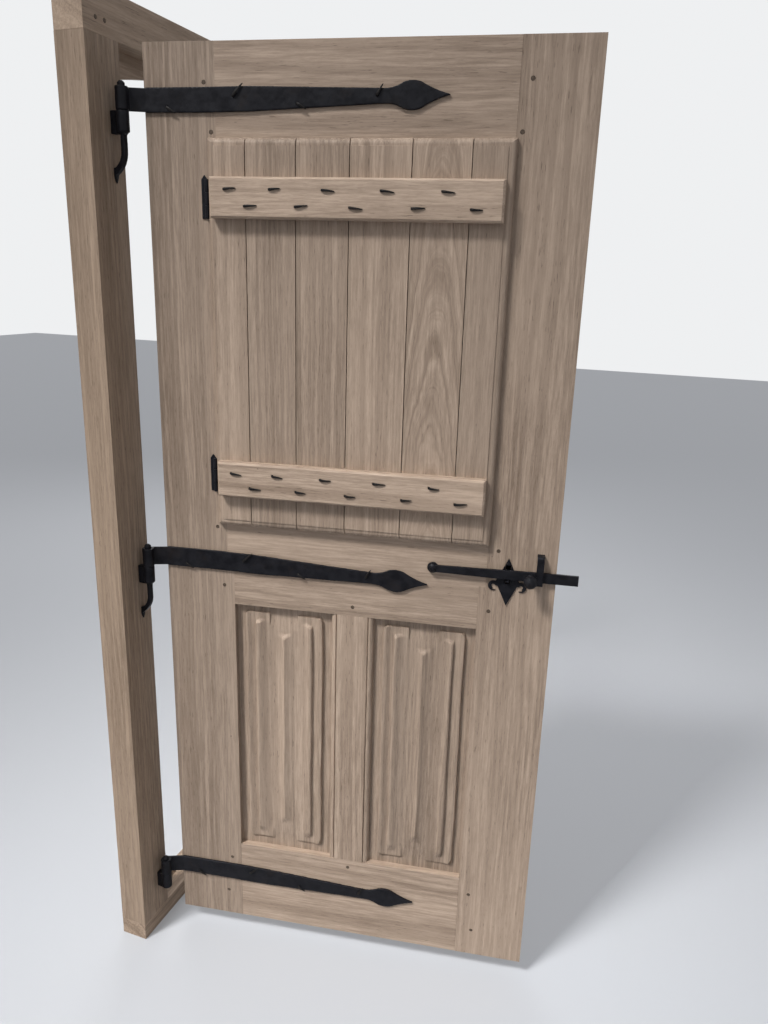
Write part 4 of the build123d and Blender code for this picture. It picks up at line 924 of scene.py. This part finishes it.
put(tree, goes, {"Geometry": finish.outputs["Geometry"]})


def set_out(name, pattern, places, turns, material, spread, seed):
    """A plain mesh of copies of a pattern at places, each with its turn."""
    mesh = bpy.data.meshes.new(name)
    mesh.from_pydata(places, [], [])
    turn = mesh.attributes.new("turn", "FLOAT_VECTOR", "POINT")
    turn.data.foreach_set("vector", [value for each in turns for value in each])
    piece = shown(name, mesh)
    modifier = piece.modifiers.new("set out", "NODES")
    modifier.node_group = setting_out
    values = {"Piece": pattern, "Finish": material, "Size Spread": spread, "Seed": seed}
    for item in setting_out.interface.items_tree:
        if item.in_out == "INPUT" and item.name in values:
            modifier[item.identifier] = values[item.name]
    settled(piece)
    bpy.data.objects.remove(pattern)
    return piece


print("tree:", len(setting_out.nodes), "nodes")

# %% [markdown]
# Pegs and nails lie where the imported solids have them, so their places are read from there. A
# node's mesh falls apart into its loose solids, and each solid gives one peg's or nail's middle.

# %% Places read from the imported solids


def islands(node_name):
    """The corners of each loose solid of a node, as lists of points."""
    work = bmesh.new()
    work.from_mesh(nodes[node_name].data)
    bmesh.ops.remove_doubles(work, verts=work.verts, dist=1e-6)
    found = []
    seen = set()
    for start in work.verts:
        if start in seen:
            continue
        waiting = [start]
        group = []
        seen.add(start)
        while waiting:
            vertex = waiting.pop()
            group.append(vertex.co.copy())
            for edge in vertex.link_edges:
                other = edge.other_vert(vertex)
                if other not in seen:
                    seen.add(other)
                    waiting.append(other)
        found.append(group)
    work.free()
    return found


def middle_of(points):
    """The mean of some points."""
    return sum(points, Vector()) / len(points)


def close_rings(work, rings):
    """Faces between each ring of points and the next, and one at either end."""
    for first, second in zip(rings, rings[1:]):
        for index in range(len(first)):
            after = (index + 1) % len(first)
            work.faces.new((first[index], first[after], second[after], second[index]))
    work.faces.new(list(reversed(rings[0])))
    work.faces.new(rings[-1])


print(len(islands("leaf_pegs")), "pegs found in the leaf")

# %% [markdown]
# A draw peg is riven and driven through, so its end shows as a dark, slightly uneven disc of end
# grain, a hair below the face. The end has its own material, dark with paler patches.

# %% Peg wood
peg_wood, tree, shader = new_material("peg end grain")
where = node(tree, "ShaderNodeTexCoord").outputs["Object"]
speck = mask(tree, noise_of(tree, where, 900.0, 3.0, 0.6), 0.35, 0.65)
patch = mask(tree, noise_of(tree, where, 160.0, 2.0), 0.35, 0.65)
colour = mixed(tree, speck, (0.082, 0.054, 0.034), (0.045, 0.029, 0.019))
colour = mixed(tree, times(tree, patch, 0.6), colour, (0.115, 0.080, 0.054))
put(tree, shader, {"Base Color": colour, "Roughness": 0.75})
bumped(tree, shader, speck, 0.4, 0.0005)
print("peg wood is made")

# %% Pegs
PEG_R = 4.5
PEG_SIDES = 14
PEG_SPREAD = 0.02
LEAF_PEG_L = 38.0
FRAME_PEG_L = 50.0
CROWN = ((0.55, 0.32), (0.86, 0.5), (0.97, 1.0))


def peg_pattern(length):
    """One peg along +Y from its end, which is crowned a little and sits just under the face."""
    work = bmesh.new()
    rings = []
    for share, depth in (*CROWN, (CROWN[-1][0], length)):
        ring = []
        for index in range(PEG_SIDES):
            angle = 2 * pi * index / PEG_SIDES
            radius = PEG_R * share * (1 + 0.05 * sin(3 * angle + 1) + 0.03 * sin(5 * angle))
            corner = Vector((radius * cos(angle), depth, radius * sin(angle))) * MM
            ring.append(work.verts.new(corner))
        rings.append(ring)
    close_rings(work, rings)
    return shown("peg pattern", smooth_mesh(work, "peg pattern", 50))


def riven_pegs(node_name, length, places, turn_z, rng, seed):
    """Set pegs out at places, each turned about its own length by chance and then by turn_z."""
    turns = [(0, float(rng.uniform(0, 6)), turn_z) for _ in places]
    piece = set_out(node_name + "_riven", peg_pattern(length), places, turns, peg_wood,
                    PEG_SPREAD, seed)
    stands_for(piece, peg_wood, node_name)


leaf_middles = [leaf_terms(middle_of(group)) for group in islands("leaf_pegs")]
leaf_places = [on_leaf(middle.x, 0, middle.z) for middle in leaf_middles]
frame_places = []
for group in islands("frame_pegs"):
    middle = middle_of(group)
    frame_places.append(Vector((middle.x, min(point.y for point in group), middle.z)))
rng = np.random.default_rng(7)
riven_pegs("leaf_pegs", LEAF_PEG_L, leaf_places, -OPEN, rng, seed=3)
riven_pegs("frame_pegs", FRAME_PEG_L, frame_places, 0, rng, seed=4)
print(len(leaf_places), "pegs in the leaf,", len(frame_places), "in the frame")

# %% [markdown]
# The nails were driven from the far side and their points bent over and hammered down. What shows
# is a dark sliver: thick where it leaves the wood, arched a little, and drawn to a point. Each
# follows a short path, so a tapering section with cut corners is carried along it.

# %% How a nail is bent
NAIL_W = 4.0
CUT = 0.55
SECTION = ((-1, -CUT), (-CUT, -1), (CUT, -1), (1, -CUT), (1, CUT), (CUT, 1), (-CUT, 1), (-1, CUT))
BEND = ((0.12, 2.4), (0.3, 3.0), (0.52, 2.9), (0.74, 2.3), (0.9, 1.6), (1.0, 1.0))
WIDTHS = (NAIL_W, NAIL_W, NAIL_W * 1.1, 4.9, 4.5, 3.8, 3.1, 2.3, 1.2)
THICKNESSES = (NAIL_W, NAIL_W, NAIL_W, 3.6, 2.9, 2.4, 2.2, 1.8, 1.0)
HEAD = ((1.0, 0.0), (0.98, 1.4), (0.62, 3.4), (0.2, 4.8))


def bent_bar(work, path):
    """The nail's tapering bar along a path; its width lies flat to the room."""
    rings = []
    for index, point in enumerate(path):
        before = path[max(index - 1, 0)]
        after = path[min(index + 1, len(path) - 1)]
        heading = (after - before).normalized()
        side = heading.cross(-inward)
        # Inside the wood the bar runs straight in, where no side is flat to the room
        if side.length < 0.2:
            side = across.copy()
        side.normalize()
        lift = side.cross(heading).normalized()
        half_w = WIDTHS[index] / 2 * MM
        half_t = THICKNESSES[index] / 2 * MM
        rings.append([work.verts.new(point + side * (half_w * a) + lift * (half_t * b))
                      for a, b in SECTION])
    close_rings(work, rings)


def nail_head(work, x, z, depth, width, rng):
    """A square head, drawn in towards its top and a little uneven at its corners."""
    rings = []
    for share, rise in HEAD:
        half = width / 2 * share
        ring = []
        for a, b in ((-1, -1), (1, -1), (1, 1), (-1, 1)):
            skew = 1 + rng.uniform(-0.06, 0.04)
            corner = on_leaf(x + a * half * skew, depth + rise, z + b * half * skew)
            ring.append(work.verts.new(corner))
        rings.append(ring)
    close_rings(work, rings)


def clenched_nail(work, shank, tip, surface, head_depth, head_w, seed):
    """One nail from its head's depth to a surface, where its end is bent over to the tip. shank
    and tip are mm across and up the leaf."""
    rng = np.random.default_rng(seed)
    x, z = shank
    run_x, run_z = tip[0] - x, tip[1] - z
    sag = rng.uniform(-0.6, 0.6)
    path = [on_leaf(x, depth, z) for depth in (head_depth - 1, surface + 1, surface - 0.6)]
    for share, rise in BEND:
        up_leaf = z + run_z * share + sag * sin(pi * share)
        path.append(on_leaf(x + run_x * share, surface - rise, up_leaf))
    bent_bar(work, path)
    if head_w > 0:
        nail_head(work, x, z, head_depth, head_w, rng)


def nails_piece(node_name, nails):
    """All the nails of a node in one piece."""
    work = bmesh.new()
    for nail in nails:
        clenched_nail(work, **nail)
    name = node_name + "_bent"
    return stands_for(shown(name, smooth_mesh(work, name, 42)), nail_iron, node_name)


def shank_of(terms):
    """The middle of a nail's deepest corners, in the leaf's terms."""
    deepest = max(term.y for term in terms)
    return middle_of([term for term in terms if term.y > deepest - 0.5])


print("nails follow", len(WIDTHS), "points each")

# %% [markdown]
# Each strap nail has its head on the street side and its end bent over on the strap. The packed
# solid gives where the shank stands and, with its corner farthest from there, where the tip lies.

# %% Strap nails
STRAP_FACE = -6.0
STRAP_HEAD_W = 17.0


def strap_nail_ends():
    """Shank and tip of each strap nail, in mm across and up the leaf, in order of place."""
    found = []
    for group in islands("strap_nails"):
        terms = [leaf_terms(point) for point in group]
        shank = shank_of(terms)
        flat_shank = Vector((shank.x, shank.z))
        on_face = [Vector((term.x, term.z)) for term in terms if term.y < STRAP_FACE + 1]
        tip = max(on_face, key=lambda point: (point - flat_shank).length)
        found.append(((shank.x, shank.z), (tip.x, tip.y)))
    return sorted(found)


strap_nails = [dict(shank=shank, tip=tip, surface=STRAP_FACE, head_depth=LEAF_T,
                    head_w=STRAP_HEAD_W, seed=100 + index)
               for index, (shank, tip) in enumerate(strap_nail_ends())]
nails_piece("strap_nails", strap_nails)
print(len(strap_nails), "strap nails")

# %% [markdown]
# The battens' nails come through in two staggered rows each, and all their points were bent over
# to the right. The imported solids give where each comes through. Length and slope vary from nail to
# nail by the few millimetres that the photograph shows. Their heads are hidden, so they have none.

# %% Batten nails
BATTEN_FACE = -42.5
BATTEN_NAIL_BACK = -2.0


def batten_nail_places():
    """Where each batten nail comes through, in mm across and up the leaf, row by row."""
    shanks = [shank_of([leaf_terms(point) for point in group])
              for group in islands("batten_nails")]
    return [(x, z) for z, x in sorted((round(shank.z), shank.x) for shank in shanks)]


batten_nails = []
rng = np.random.default_rng(12)
for index, (x, z) in enumerate(batten_nail_places()):
    slope = float(rng.uniform(-3.0, 3.2))
    length = float(rng.uniform(21, 26))
    batten_nails.append(dict(shank=(x, z), tip=(x + length, z + slope), surface=BATTEN_FACE,
                             head_depth=BATTEN_NAIL_BACK, head_w=0, seed=200 + index))
nails_piece("batten_nails", batten_nails)
print(len(batten_nails), "batten nails")

# %% [markdown]
# The pane behind the shutter is plain float glass. Its node keeps its own mesh, with a clear shader
# that has a faint green cast and a slight unevenness of the surface.

# %% Glass
glass, tree, shader = new_material("window glass")
put(tree, shader, {"Base Color": (0.93, 0.97, 0.95, 1), "Roughness": 0.02,
                   "Transmission Weight": 1.0, "IOR": 1.5})
where = node(tree, "ShaderNodeTexCoord").outputs["Object"]
bumped(tree, shader, noise_of(tree, where, 6.0, 1.0), 0.05, 0.001)
nodes["glass_pane"].data.materials.clear()
nodes["glass_pane"].data.materials.append(glass)
print("glass set")
